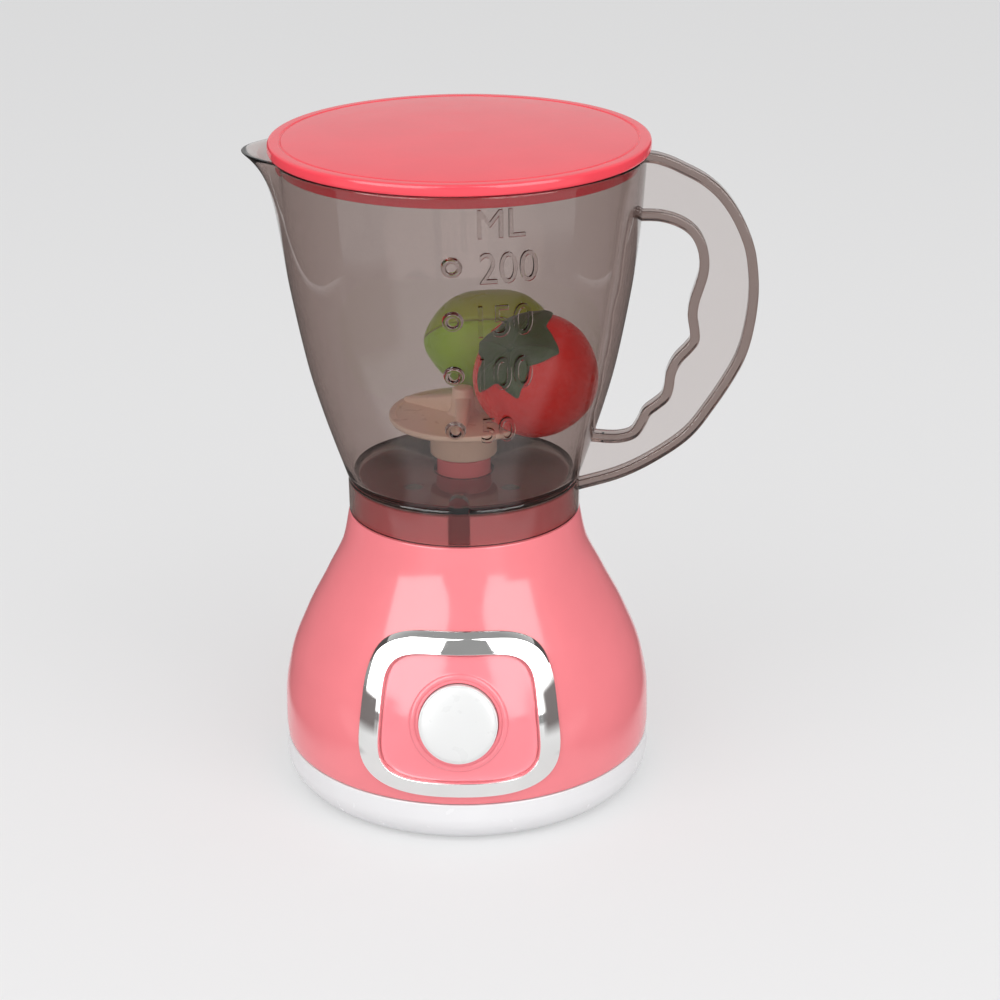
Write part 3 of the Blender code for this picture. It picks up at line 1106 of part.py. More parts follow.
def make_gearbox():
    """The tray under the gears with the motor's cradle, and the cover over them."""
    middle = (0, TRAY_OFFSET)
    tray = rod("gearbox_tray", TRAY_RADIUS, TRAY_HEIGHT, TRAY_TOP, middle, RING_STEPS)
    cut(tray, rod("room", TRAY_RADIUS - TRAY_WALL, TRAY_HEIGHT + TRAY_FLOOR, TRAY_TOP + CUT_OVERRUN, middle,
                  RING_STEPS))
    cradle = prism("cradle", motor_outline(FIT_GAP + CRADLE_WALL), TRAY_HEIGHT - CRADLE_DEPTH,
                   TRAY_HEIGHT + TRAY_FLOOR / 2)
    pillars = []
    holes = [prism("pocket", motor_outline(FIT_GAP), TRAY_HEIGHT - CRADLE_DEPTH - CUT_OVERRUN, TRAY_HEIGHT)]
    for angle in GEARBOX_POST_ANGLES:
        centre = polar(GEARBOX_POST_CIRCLE, angle, middle)
        pillars.append(rod("pillar", GEARBOX_POST_RADIUS, TRAY_HEIGHT + TRAY_FLOOR / 2, TRAY_TOP, centre,
                           SMALL_STEPS))
        holes.append(rod("hole", SCREW_RADIUS + FIT_GAP, TRAY_HEIGHT - CUT_OVERRUN, TRAY_TOP + CUT_OVERRUN,
                         centre, SMALL_STEPS))
    holes.append(rod("hole", MOTOR_NOSE_RADIUS + FIT_GAP, TRAY_HEIGHT - CUT_OVERRUN,
                     LOWER_GEARS, MOTOR_CENTRE, PART_STEPS))
    for centre, radius in ((IDLER_CENTRE, AXLE_RADIUS), (OUTPUT_CENTRE, SHAFT_RADIUS)):
        holes.append(rod("hole", radius + SHAFT_GAP, TRAY_HEIGHT + AXLE_SEAT - FIT_GAP, LOWER_GEARS, centre,
                         PART_STEPS))
    join(tray, cradle, *pillars)
    cut(tray, *holes)
    finish(seat(tray, *middle, TRAY_HEIGHT), "white")
    cover = rod("gearbox_cover", TRAY_RADIUS, COVER_BOTTOM, COVER_TOP, middle, RING_STEPS)
    openings = [rod("hole", SHAFT_RADIUS + SHAFT_GAP, COVER_BOTTOM - CUT_OVERRUN, COVER_TOP + CUT_OVERRUN,
                    OUTPUT_CENTRE, PART_STEPS)]
    openings.append(rod("hole", AXLE_RADIUS + SHAFT_GAP, COVER_BOTTOM - CUT_OVERRUN,
                        COVER_BOTTOM + AXLE_SEAT, IDLER_CENTRE, PART_STEPS))
    for angle in GEARBOX_POST_ANGLES:
        centre = polar(GEARBOX_POST_CIRCLE, angle, middle)
        openings.append(rod("hole", SCREW_RADIUS + FIT_GAP, COVER_BOTTOM - CUT_OVERRUN,
                            COVER_TOP + CUT_OVERRUN, centre, SMALL_STEPS))
    cut(cover, *openings)
    finish(seat(cover, *middle, COVER_BOTTOM), "white")
    for number, angle in enumerate(GEARBOX_POST_ANGLES, 1):
        centre = polar(GEARBOX_POST_CIRCLE, angle, middle)
        screw = make_screw(f"gearbox_screw_{number}", GEARBOX_SCREW_LENGTH)
        finish(place(screw, Matrix.Translation((*centre, TRAY_HEIGHT - FIT_GAP))), "steel")


def make_lights():
    """Two clear lights that stand in the spigot's top, each with two legs."""
    ceiling = SPIGOT_TOP - BODY_WALL
    for name, angle in zip(("light_left", "light_right"), LIGHT_ANGLES):
        flange_top = ceiling - FIT_GAP
        dome_base = flange_top + LIGHT_BODY - LIGHT_RADIUS
        outline = [
            (0, flange_top - LIGHT_FLANGE_HEIGHT),
            (LIGHT_RADIUS + LIGHT_FLANGE + FIT_GAP, flange_top - LIGHT_FLANGE_HEIGHT),
            (LIGHT_RADIUS + LIGHT_FLANGE + FIT_GAP, flange_top),
            (LIGHT_RADIUS, flange_top),
        ]
        for row in range(LIGHT_DOME_ROWS + 1):
            turn = math.pi / 2 * row / LIGHT_DOME_ROWS
            radius = LIGHT_RADIUS * math.cos(turn) if row < LIGHT_DOME_ROWS else 0
            outline.append((radius, dome_base + LIGHT_RADIUS * LIGHT_DOME_SHARE * math.sin(turn)))
        light = turned(name, outline, SMALL_STEPS)
        legs = []
        half = LIGHT_LEG_WIDTH / 2
        for side in (-1, 1):
            middle = side * LIGHT_LEG_SPACING / 2
            legs.append(block("leg", (middle - half, -half, flange_top - LIGHT_LEG_LENGTH),
                              (middle + half, half, flange_top - LIGHT_FLANGE_HEIGHT / 2)))
        join(light, *legs)
        finish(place(light, Matrix.Translation((*polar(LIGHT_CIRCLE, angle), 0))), "light")


def spout_push(x, y, z):
    """How far the spout pushes a point of the jar's wall outwards."""
    turn = math.degrees(abs(math.atan2(y, -x)))
    if turn >= SPOUT_HALF_ANGLE:
        return 0.0
    shape = (1 - (turn / SPOUT_HALF_ANGLE) ** 2) ** 2
    return SPOUT_REACH * shape * math.exp(-(JAR_RIM - z) / SPOUT_FADE)


def make_jar():
    """Collar, floor, flared cone with its spout, key, dots and handle."""
    heights = JAR_FLOOR_TOP + JAR_CONE_HEIGHT * np.linspace(0, 1, JAR_ROWS)
    outer = [(SHOULDER_RADIUS, JAR_BOTTOM), (SHOULDER_RADIUS, JAR_FLOOR_TOP - FIT_GAP)]
    outer += [(jar_radius(height), height) for height in heights]
    inner = [(JAR_COLLAR_INNER, JAR_BOTTOM), (JAR_COLLAR_INNER, JAR_FLOOR_UNDER)]
    inner += [(FLOOR_HOLE_RADIUS, JAR_FLOOR_UNDER), (FLOOR_HOLE_RADIUS, JAR_FLOOR_TOP)]
    inner += [(jar_radius(height) - JAR_WALL, height) for height in heights]
    half_spout = math.radians(SPOUT_HALF_ANGLE)
    fine = np.linspace(math.pi - half_spout, math.pi + half_spout, SPOUT_COLUMNS + 1)
    coarse = np.linspace(math.pi + half_spout, math.pi * 3 - half_spout, JAR_COLUMNS + 1)
    jar = turned_wall("jar", outer, inner, [float(angle) for angle in (*fine[:-1], *coarse[:-1])])
    for vertex in jar.data.vertices:
        x, y, z = vertex.co
        radius = math.hypot(x, y)
        if z > JAR_FLOOR_TOP:
            stretch = 1 + spout_push(x, y, z) / radius
            vertex.co = (x * stretch, y * stretch, z)
    pads = []
    for share in DOT_HEIGHT_SHARES:
        height = JAR_FLOOR_TOP + JAR_CONE_HEIGHT * share
        radius = jar_radius(height)
        pad = rod("dot", DOT_RADIUS, -JAR_WALL / 2, DOT_PROUD, (0, 0), SMALL_STEPS)
        rise = jar_radius(height + DOT_RADIUS) - jar_radius(height - DOT_RADIUS)
        tilt = math.atan2(rise, DOT_RADIUS * 2)
        pads.append(shift(pad, Matrix.Translation((0, -radius, height))
                          @ Matrix.Rotation(math.pi / 2 + tilt, 4, "X")))
    key = key_block()
    join(jar, key, *pads)
    join(jar, *handle_pieces())
    return finish(seat(jar, 0, 0, JAR_BOTTOM), "jar")


def key_block():
    """The round-topped bar that keys the jar to its spigot."""
    half = KEY_WIDTH / 2
    top = JAR_FLOOR_TOP + KEY_RISE - half
    outline = [(-half, JAR_BOTTOM + FIT_GAP), (half, JAR_BOTTOM + FIT_GAP)]
    for step in range(SMALL_STEPS // 2 + 1):
        angle = math.pi * step / (SMALL_STEPS // 2)
        outline.append((half * math.cos(angle), top + half * math.sin(angle)))
    key = prism("key", outline, SHOULDER_RADIUS - JAR_WALL - KEY_DEPTH, SHOULDER_RADIUS + KEY_PROUD)
    return shift(key, UPRIGHT)


def rail_points(shares):
    """Real (x, z) points of a handle rail's centre line."""
    points = []
    for reach, drop in shares:
        height = JAR_RIM - HANDLE_TOP_DROP - HANDLE_HEIGHT * drop
        points.append((jar_radius(height) + HANDLE_REACH * reach, height))
    return smooth_path(points, RAIL_CURVE_STEPS)


def strip_outline(path, width):
    """Outline of a band of one width along a path."""
    path = np.array(path)
    along = np.gradient(path, axis=0)
    along /= np.linalg.norm(along, axis=1)[:, None]
    side = np.column_stack((-along[:, 1], along[:, 0])) * width / 2
    return [tuple(point) for point in np.vstack((path + side, (path - side)[::-1]))]


def upright_prism(node, outline, depth):
    """Stand an (x, z) outline up, centred on Y = 0."""
    solid = prism(node, outline, -depth / 2, depth / 2)
    return shift(solid, UPRIGHT)


def handle_pieces():
    """The outer rail, the finger rail and the web between them, trimmed at the jar's wall."""
    outer = rail_points(OUTER_RAIL_SHARES)
    inner = rail_points(INNER_RAIL_SHARES)
    web_outline = [tuple(point) for point in outer] + [tuple(point) for point in inner[::-1]]
    pieces = [
        upright_prism("outer_rail", strip_outline(outer, HANDLE_RAIL), HANDLE_DEPTH),
        upright_prism("inner_rail", strip_outline(inner, HANDLE_RAIL), HANDLE_DEPTH),
        upright_prism("web", web_outline, HANDLE_WEB),
    ]
    heights = JAR_FLOOR_TOP + JAR_CONE_HEIGHT * np.linspace(0, 1, JAR_ROWS)
    low = SHOULDER_HEIGHT - CUT_OVERRUN
    high = JAR_RIM + CUT_OVERRUN
    core = [(0, low), (SHOULDER_RADIUS - HANDLE_ROOT_BITE, low)]
    core += [(jar_radius(height) - HANDLE_ROOT_BITE, height) for height in heights]
    core += [(JAR_MOUTH_RADIUS - HANDLE_ROOT_BITE, high), (0, high)]
    handle = pieces[0]
    join(handle, *pieces[1:])
    cut(handle, turned("core", core, BODY_STEPS))
    return [handle]


def make_lid():
    """The lid: a rolled rim, a groove, a low crown and a plug skirt."""
    under = JAR_RIM + FIT_GAP
    top = under + LID_RIM_HEIGHT
    rim = JAR_MOUTH_RADIUS + LID_OVERHANG
    plug = JAR_MOUTH_RADIUS - JAR_WALL - LID_PLUG_GAP
    groove = rim - LID_GROOVE_INSET
    outline = [
        (0, top - LID_PLATE),
        (plug - LID_PLUG_WALL, top - LID_PLATE),
        (plug - LID_PLUG_WALL, under - LID_PLUG_DEPTH),
        (plug, under - LID_PLUG_DEPTH),
        (plug, under),
        (rim - LID_RIM_ROUND, under),
        (rim, under + LID_RIM_ROUND),
        (rim, top - LID_RIM_ROUND),
        (rim - LID_RIM_ROUND, top),
        (groove + LID_GROOVE_DEPTH, top),
        (groove, top - LID_GROOVE_DEPTH),
        (groove - LID_GROOVE_DEPTH, top),
    ] + [(groove * reach, top + LID_CROWN * rise) for reach, rise in LID_CROWN_SHARES]
    return finish(seat(turned("lid", outline, BODY_STEPS), 0, 0, JAR_RIM), "lid")


def make_agitator():
    """The turntable: hub with a hexagonal socket, disc, post and fins."""
    under = DISC_TOP - DISC_THICKNESS
    outline = [
        (0, HUB_BOTTOM),
        (HUB_RADIUS, HUB_BOTTOM),
        (HUB_RADIUS, under - DISC_UNDERCUT * 2),
        (HUB_RADIUS + DISC_UNDERCUT, under - DISC_UNDERCUT),
        (DISC_RADIUS - DISC_UNDERCUT / 2, under),
        (DISC_RADIUS, under + DISC_UNDERCUT / 2),
        (DISC_RADIUS, DISC_TOP - DISC_UNDERCUT / 2),
        (DISC_RADIUS - DISC_UNDERCUT / 2, DISC_TOP),
        (POST_RADIUS * POST_FOOT_SHARE, DISC_TOP),
        (POST_RADIUS, DISC_TOP + DISC_UNDERCUT),
        (POST_RADIUS * POST_TIP_SHARE, DISC_TOP + POST_HEIGHT - DISC_UNDERCUT),
        (0, DISC_TOP + POST_HEIGHT),
    ]
    disc = turned("agitator", outline, RING_STEPS)
    reach = DISC_RADIUS * FIN_REACH_SHARE
    fin_outline = [
        (POST_RADIUS / 4, DISC_TOP - DISC_THICKNESS / 2),
        (reach, DISC_TOP - DISC_THICKNESS / 2),
        (reach, DISC_TOP + FIN_TIP_HEIGHT),
        (POST_RADIUS / 2, DISC_TOP + POST_HEIGHT - DISC_UNDERCUT * 2),
        (POST_RADIUS / 4, DISC_TOP + POST_HEIGHT - DISC_UNDERCUT * 2),
    ]
    fins = []
    for index in range(FIN_COUNT):
        fin = upright_prism("fin", fin_outline, FIN_THICKNESS)
        turn = math.radians(FIN_START_ANGLE + 360 * index / FIN_COUNT)
        fins.append(shift(fin, Matrix.Rotation(turn, 4, "Z")))
    join(disc, *fins)
    cut(disc, rod("socket", DRIVE_TIP_RADIUS + SOCKET_GAP, HUB_BOTTOM - CUT_OVERRUN,
                  TIP_BOTTOM + DRIVE_TIP_LENGTH + FIT_GAP, (0, 0), DRIVE_TIP_SIDES))
    return finish(seat(disc, 0, 0, HUB_BOTTOM), "agitator")


def axis_frame(axis, centre):
    """Matrix whose local +Z is the axis, at a centre."""
    matrix = axis.normalized().to_track_quat("Z", "Y").to_matrix().to_4x4()
    matrix.translation = centre
    return matrix


def make_food(node, outline, lobe, matrix, look):
    """Turn a fruit's outline, add its lobes, place it and flatten what would reach the disc."""
    fruit = turned(node, outline, FOOD_COLUMNS)
    for vertex in fruit.data.vertices:
        x, y, z = vertex.co
        swell = 1 + lobe(math.atan2(y, x), z)
        vertex.co = (x * swell, y * swell, z)
    shift(fruit, matrix)
    for vertex in fruit.data.vertices:
        past = max(0, math.hypot(vertex.co.x, vertex.co.y) - DISC_RADIUS - FOOD_EDGE_MARGIN)
        vertex.co.z = max(vertex.co.z, FOOD_FLOOR - FOOD_EDGE_SLOPE * past)
    return finish(seat(fruit, *matrix.translation), look, SOFT_SMOOTH_ANGLE)


def make_tomato():
    """A squat fruit with a dimple at its calyx and shallow lobes."""
    outline = [(0, -TOMATO_RADIUS * TOMATO_SQUASH_SHARE)]
    for row in range(1, FOOD_ROWS):
        angle = -math.pi / 2 + math.pi * row / FOOD_ROWS
        height = TOMATO_RADIUS * TOMATO_SQUASH_SHARE * math.sin(angle)
        dimple = TOMATO_DIMPLE_SHARE * max(0, math.sin(angle)) ** TOMATO_DIMPLE_POWER
        outline.append((TOMATO_RADIUS * math.cos(angle), height * (1 - dimple)))
    outline.append((0, TOMATO_RADIUS * TOMATO_SQUASH_SHARE * (1 - TOMATO_DIMPLE_SHARE)))

    def lobe(turn, z):
        return TOMATO_LOBE_SHARE * math.cos(TOMATO_LOBES * turn) * (1 + z / TOMATO_RADIUS) / 2

    return make_food("play_tomato", outline, lobe, axis_frame(TOMATO_AXIS, TOMATO_PLACE), "play_tomato")


def make_lime():
    """A lime: an egg-shaped body drawn out to a blunt tip at each end."""
    outline = []
    for row in range(FOOD_ROWS // 2 + 1):
        along = math.sin(math.pi * row / FOOD_ROWS)
        outline.append((LIME_RADIUS * float(smooth_curve(LIME_OUTLINE_SHARES, 1 - along)), along))
    lower = [(radius, -LIME_LENGTH * share) for radius, share in outline[::-1]]
    upper = [(radius, LIME_LENGTH * share) for radius, share in outline[1:]]
    lower[0] = (0, -LIME_LENGTH)
    upper[-1] = (0, LIME_LENGTH)
    return make_food("play_lime", lower + upper, lambda turn, z: 0.0, axis_frame(LIME_AXIS, LIME_PLACE),
                     "play_lime")


def make_base_screws():
    """The four screws that hold the pan to the shell."""
    for number, angle in enumerate(BOSS_ANGLES, 1):
        screw = make_screw(f"base_screw_{number}", SCREW_LENGTH)
        finish(place(screw, Matrix.Translation((*polar(BOSS_CIRCLE, angle), BASE_SCREW_UNDER))), "steel")


def main():
    """Build every piece."""
    clear_scene()
    make_base_shell()
    make_base_pan()
    make_battery_door()
    make_base_screws()
    make_bezel()
    make_control_panel()
    make_power_button()
    make_switch()
    make_cells()
    make_gears()
    make_motor()
    make_gearbox()
    make_lights()
    make_jar()
    make_lid()
    make_agitator()
    make_tomato()
    make_lime()
    total = 0
    for item in bpy.data.objects:
        item.data.calc_loop_triangles()
        total += len(item.data.loop_triangles)
        print(item.name, len(item.data.loop_triangles))
    print("pieces", len(bpy.data.objects), "triangles", total)


main()
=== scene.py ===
# %% [markdown]
# # A toy blender, made step by step
# This lesson dresses the solids of a toy blender: a bell-shaped battery base, a smoky jar with a handle and a
# spout, a red lid, and a turntable that carries a play tomato and a play lime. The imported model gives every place
# and every joint. Each step works one surface out with arrays, puts it where the model says, and gives it a finish.

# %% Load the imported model
import json
import math

import bmesh
import bpy
import numpy as np
from mathutils import Matrix, Vector

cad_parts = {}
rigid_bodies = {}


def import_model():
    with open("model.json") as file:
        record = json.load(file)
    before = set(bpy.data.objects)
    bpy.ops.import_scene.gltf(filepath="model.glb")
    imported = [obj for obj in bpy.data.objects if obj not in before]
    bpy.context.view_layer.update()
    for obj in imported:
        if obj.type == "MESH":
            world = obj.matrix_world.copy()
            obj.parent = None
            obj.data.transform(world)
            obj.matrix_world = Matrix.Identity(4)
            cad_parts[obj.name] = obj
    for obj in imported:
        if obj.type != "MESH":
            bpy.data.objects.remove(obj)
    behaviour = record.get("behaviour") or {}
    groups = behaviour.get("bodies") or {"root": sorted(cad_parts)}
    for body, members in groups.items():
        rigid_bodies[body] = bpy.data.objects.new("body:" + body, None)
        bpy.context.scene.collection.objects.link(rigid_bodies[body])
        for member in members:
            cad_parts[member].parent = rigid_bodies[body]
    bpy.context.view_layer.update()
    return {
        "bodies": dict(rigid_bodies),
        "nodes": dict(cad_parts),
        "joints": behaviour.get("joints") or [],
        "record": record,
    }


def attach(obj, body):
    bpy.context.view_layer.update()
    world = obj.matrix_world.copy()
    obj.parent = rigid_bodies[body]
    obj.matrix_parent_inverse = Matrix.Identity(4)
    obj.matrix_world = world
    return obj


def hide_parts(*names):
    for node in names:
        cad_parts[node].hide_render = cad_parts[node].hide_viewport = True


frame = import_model()
MM = 0.001

# %% [markdown]
# ## The camera
# The photograph looks down at the toy by about 22 degrees with a long lens, a little from the right. A camera could
# be aimed by hand, but here its place and its tilt come from a fit to the rings of the lid, the collar and the base,
# so a point of the model lands where the same point lies in the picture.

# %% Camera
CAMERA_PLACE = Vector((0.03219, -0.64318, 0.33698))
CAMERA_TURN = math.radians(2.0)
CAMERA_PITCH = math.radians(21.852)
CAMERA_ROLL = -0.0083
CAMERA_LENS = 91.44


def new_object(name, data):
    """An object for a camera, a lamp or a mesh, linked to the scene."""
    item = bpy.data.objects.new(name, data)
    bpy.context.scene.collection.objects.link(item)
    return item


def frame_of(x, y, z, place):
    """The matrix of a frame with these three axes, standing at a place."""
    matrix = Matrix((x, y, z)).transposed().to_4x4()
    matrix.translation = place
    return matrix


ahead = Vector((-math.sin(CAMERA_TURN) * math.cos(CAMERA_PITCH), math.cos(CAMERA_TURN) * math.cos(CAMERA_PITCH),
                -math.sin(CAMERA_PITCH)))
level = Vector((math.cos(CAMERA_TURN), math.sin(CAMERA_TURN), 0))
upright = level.cross(ahead)
right = math.cos(CAMERA_ROLL) * level + math.sin(CAMERA_ROLL) * upright
above = math.cos(CAMERA_ROLL) * upright - math.sin(CAMERA_ROLL) * level
lens = bpy.data.cameras.new("camera")
lens.lens = CAMERA_LENS
lens.sensor_width = 36
camera = new_object("camera", lens)
camera.matrix_world = frame_of(right, above, -ahead, CAMERA_PLACE)
bpy.context.scene.camera = camera
bpy.context.scene.view_settings.view_transform = "Standard"
print("camera at", tuple(round(v, 4) for v in camera.location))

# %% [markdown]
# ## Floor, world and lamps
# The toy stands on a plain pale floor in a pale studio, under two soft boxes and a weak lamp from the front. Glossy
# things show what stands round them, so mirrors alone see more: a bright cloth before each soft box, with a gap
# between the two, draws the bright panes on the body and the dark arch in the chrome. Dark flags at the sides and
# dark cards on the floor beside the toy give it its dark edges, and two low soft flags draw the dark patches in the
# chrome. A painted picture of the reflections would stay put when the toy turns, and these don't.

# %% Shader nodes
def add_node(tree, kind, *sources, **values):
    """A shader node: sources feed its first sockets in order, values set or feed sockets and settings by name."""
    node = tree.nodes.new(kind)
    for key, value in values.items():
        socket = node.inputs.get(key.replace("_", " "))
        if socket is None:
            setattr(node, key, value)
        elif isinstance(value, bpy.types.NodeSocket):
            tree.links.new(value, socket)
        else:
            socket.default_value = value
    for socket, source in zip(node.inputs, sources):
        tree.links.new(source, socket)
    return node


def either(tree, first, second):
    """The larger of two factors."""
    return add_node(tree, "ShaderNodeMath", first, second, operation="MAXIMUM").outputs[0]


def mix_shaders(tree, factor, first, second):
    """The first shader where the factor is 0, the second where it is 1."""
    return add_node(tree, "ShaderNodeMixShader", factor, first, second).outputs[0]


def shown_rays(tree):
    """1 for rays that show a thing, straight, in a mirror or through glass, and 0 for rays that light others."""
    path = add_node(tree, "ShaderNodeLightPath").outputs
    return either(tree, either(tree, path["Is Camera Ray"], path["Is Glossy Ray"]), path["Is Transmission Ray"])


# %% World
world = bpy.data.worlds.new("studio")
world.use_nodes = True
bpy.context.scene.world = world
tree = world.node_tree
tree.nodes.clear()
light = add_node(tree, "ShaderNodeBackground", Color=(1, 1, 1, 1), Strength=0.62)
pale = add_node(tree, "ShaderNodeBackground", Color=(0.86, 0.86, 0.865, 1), Strength=1.0)
split = add_node(tree, "ShaderNodeSeparateXYZ", add_node(tree, "ShaderNodeTexCoord").outputs["Generated"])
shade = add_node(tree, "ShaderNodeMapRange", split.outputs["Y"], From_Min=-0.15, From_Max=0.55, To_Min=0.34,
                 To_Max=0.66)
room = add_node(tree, "ShaderNodeBackground", shade.outputs[0], Strength=1.0)
mirrored = add_node(tree, "ShaderNodeLightPath").outputs["Is Glossy Ray"]
seen = mix_shaders(tree, mirrored, pale.outputs[0], room.outputs[0])
add_node(tree, "ShaderNodeOutputWorld", mix_shaders(tree, shown_rays(tree), light.outputs[0], seen))
print("world light", light.inputs["Strength"].default_value)


# %% Floor and flags
def sheet(name, corners, material, glossy_only=False):
    """A flat stage piece through four corners."""
    mesh = bpy.data.meshes.new(name)
    mesh.from_pydata(corners, [], [(0, 1, 2, 3)])
    mesh.materials.append(material)
    piece = new_object(name, mesh)
    if glossy_only:
        piece.visible_camera = piece.visible_diffuse = piece.visible_shadow = False
        piece.visible_transmission = piece.visible_volume_scatter = False
    return piece


def bare_material(name):
    """A new material with an empty node tree."""
    material = bpy.data.materials.new(name)
    material.use_nodes = True
    material.node_tree.nodes.clear()
    return material, material.node_tree


def glow(name, strength, colour=(1, 1, 1), frame=None, half=(1, 1), soft=0.3):
    """A material that only shines. In a frame with half sizes, its light fades out over the soft share of each."""
    material, tree = bare_material(name)
    shine = add_node(tree, "ShaderNodeEmission", Color=(*colour, 1), Strength=strength).outputs[0]
    if frame is not None:
        place = add_node(tree, "ShaderNodeMapping", add_node(tree, "ShaderNodeTexCoord").outputs["Object"],
                         vector_type="TEXTURE", Location=frame.translation, Rotation=frame.to_euler(),
                         Scale=(*half, 1))
        off = add_node(tree, "ShaderNodeVectorMath", place.outputs[0], operation="ABSOLUTE")
        split = add_node(tree, "ShaderNodeSeparateXYZ", off.outputs[0])
        fades = [add_node(tree, "ShaderNodeMapRange", split.outputs[i], interpolation_type="SMOOTHSTEP",
                          From_Min=1 - soft, From_Max=1, To_Min=1, To_Max=0).outputs[0] for i in (0, 1)]
        mask = add_node(tree, "ShaderNodeMath", *fades, operation="MULTIPLY").outputs[0]
        shine = mix_shaders(tree, mask, add_node(tree, "ShaderNodeBsdfTransparent").outputs[0], shine)
    add_node(tree, "ShaderNodeOutputMaterial", shine)
    return material


paper, tree = bare_material("floor_paper")
matt = add_node(tree, "ShaderNodeBsdfDiffuse", Color=(0.60, 0.60, 0.605, 1))
dim = add_node(tree, "ShaderNodeBsdfDiffuse", Color=(0.45, 0.45, 0.455, 1))
lift = add_node(tree, "ShaderNodeEmission", Color=(1, 1, 1, 1), Strength=0.40)
both = add_node(tree, "ShaderNodeAddShader", dim.outputs[0], lift.outputs[0])
add_node(tree, "ShaderNodeOutputMaterial", mix_shaders(tree, shown_rays(tree), matt.outputs[0], both.outputs[0]))
sheet("floor", [(-3, -3, 0), (3, -3, 0), (3, 3, 0), (-3, 3, 0)], paper)

FLAG_NEAR, FLAG_FAR, FLAG_LOW, FLAG_HIGH = -0.10, 0.90, 0.001, 0.30
DARK, DARK_TINT = 0.10, (1.0, 0.90, 0.87)
dark = glow("dark_flag", DARK, DARK_TINT)
for name, x in (("left", -0.34), ("right", 0.34)):
    sheet("flag_" + name, [(x, FLAG_NEAR, FLAG_LOW), (x, FLAG_FAR, FLAG_LOW), (x, FLAG_FAR, FLAG_HIGH),
                           (x, FLAG_NEAR, FLAG_HIGH)], dark, glossy_only=True)
print("flags reach from", FLAG_NEAR, "to", FLAG_FAR, "m")

# %% Lamps
AIM = Vector((0, 0, 0.06))


def frame_at(azimuth, elevation, distance):
    """A frame that stands off the toy at two angles and faces it with its z."""
    turn, rise = math.radians(azimuth), math.radians(elevation)
    out = Vector((math.sin(turn) * math.cos(rise), -math.cos(turn) * math.cos(rise), math.sin(rise)))
    matrix = out.to_track_quat("Z", "Y").to_matrix().to_4x4()
    matrix.translation = AIM + out * distance
    return matrix


def cloth(name, matrix, width, height, shine, colour=(1, 1, 1), soft=0.3):
    """A shining sheet in a frame that only mirrors see, soft at its edges."""
    x, y = width / 2, height / 2
    corners = [matrix @ Vector(corner) for corner in ((-x, -y, 0), (x, -y, 0), (x, y, 0), (-x, y, 0))]
    sheet(name, corners, glow(name, shine, colour, matrix, (x, y), soft), glossy_only=True)


def soft_box(name, azimuth, elevation, width, height, radiance, shine=None):
    """A rectangular lamp of power pi x area x radiance, a metre off, and the bright cloth that mirrors see there."""
    lamp = bpy.data.lights.new(name, "AREA")
    lamp.shape = "RECTANGLE"
    lamp.size, lamp.size_y = width, height
    lamp.energy = math.pi * width * height * radiance
    box = new_object(name, lamp)
    box.matrix_world = frame_at(azimuth, elevation, 1.0)
    box.visible_glossy = False
    if shine:
        cloth(name + "_cloth", frame_at(azimuth, elevation, 1.0), width, height, shine, soft=0.08)


soft_box("soft_box_left", -38, 33, 0.88, 1.20, 1.24, 5.6)
soft_box("soft_box_right", 41, 33, 0.76, 1.20, 1.41, 5.0)
soft_box("front_fill", 0, 4, 0.60, 0.22, 2.2)
for name, x in (("card_left", -0.205), ("card_right", 0.205)):
    cloth(name, Matrix.Translation((x, 0.185, 0.001)), 0.27, 0.55, DARK, DARK_TINT, 0.14)
for name, azimuth, elevation, height in (("low_flag_left", -56, -3.5, 0.080), ("low_flag_right", 56, -1.0, 0.098)):
    cloth(name, frame_at(azimuth, elevation, 0.20), 0.172, height, 0.22, (1.0, 0.88, 0.87), 0.4)

# %% [markdown]
# ## Tools for surfaces
# Every new piece is a surface over two parameters: rows along a profile and columns round it. A profile could be
# drawn as a curve and spun by a modifier, but worked out as arrays it follows the same sizes as the model. The tools
# below round the corners of a profile, turn it about the axis, and join such a grid into faces. Every length of a
# shape is given in millimetres, and the tool that joins the faces turns them into metres.

# %% Surface tools
def surface(name, grid, ring_rows=False, sharp=35):
    """A mesh from a (rows, columns, 3) grid: each face takes a point, the next in its row, and the two above."""
    rows, columns = grid.shape[:2]
    r = np.arange(rows if ring_rows else rows - 1)[:, None]
    c = np.arange(columns)[None, :]
    here, there, after = r * columns, (r + 1) % rows * columns, (c + 1) % columns
    faces = np.stack((here + c, here + after, there + after, there + c), -1).reshape(-1, 4)
    mesh = bpy.data.meshes.new(name)
    mesh.from_pydata((grid * MM).reshape(-1, 3).tolist(), [], faces.tolist())
    return clean(new_object(name, mesh), sharp)


def clean(piece, sharp=35):
    """Merge equal points, so a row at one point becomes a pole, turn the faces outwards and shade the piece smooth."""
    work = bmesh.new()
    work.from_mesh(piece.data)
    bmesh.ops.remove_doubles(work, verts=work.verts, dist=0.002 * MM)
    bmesh.ops.dissolve_degenerate(work, edges=work.edges, dist=0.001 * MM)
    loose = [v for v in work.verts if not v.link_faces]
    bmesh.ops.delete(work, geom=loose, context="VERTS")
    bmesh.ops.recalc_face_normals(work, faces=work.faces)
    work.to_mesh(piece.data)
    work.free()
    piece.data.shade_smooth()
    piece.data.set_sharp_from_angle(angle=math.radians(sharp))
    return piece


def circle(count):
    """Even angles round a full turn."""
    return np.linspace(0, math.tau, count, endpoint=False)


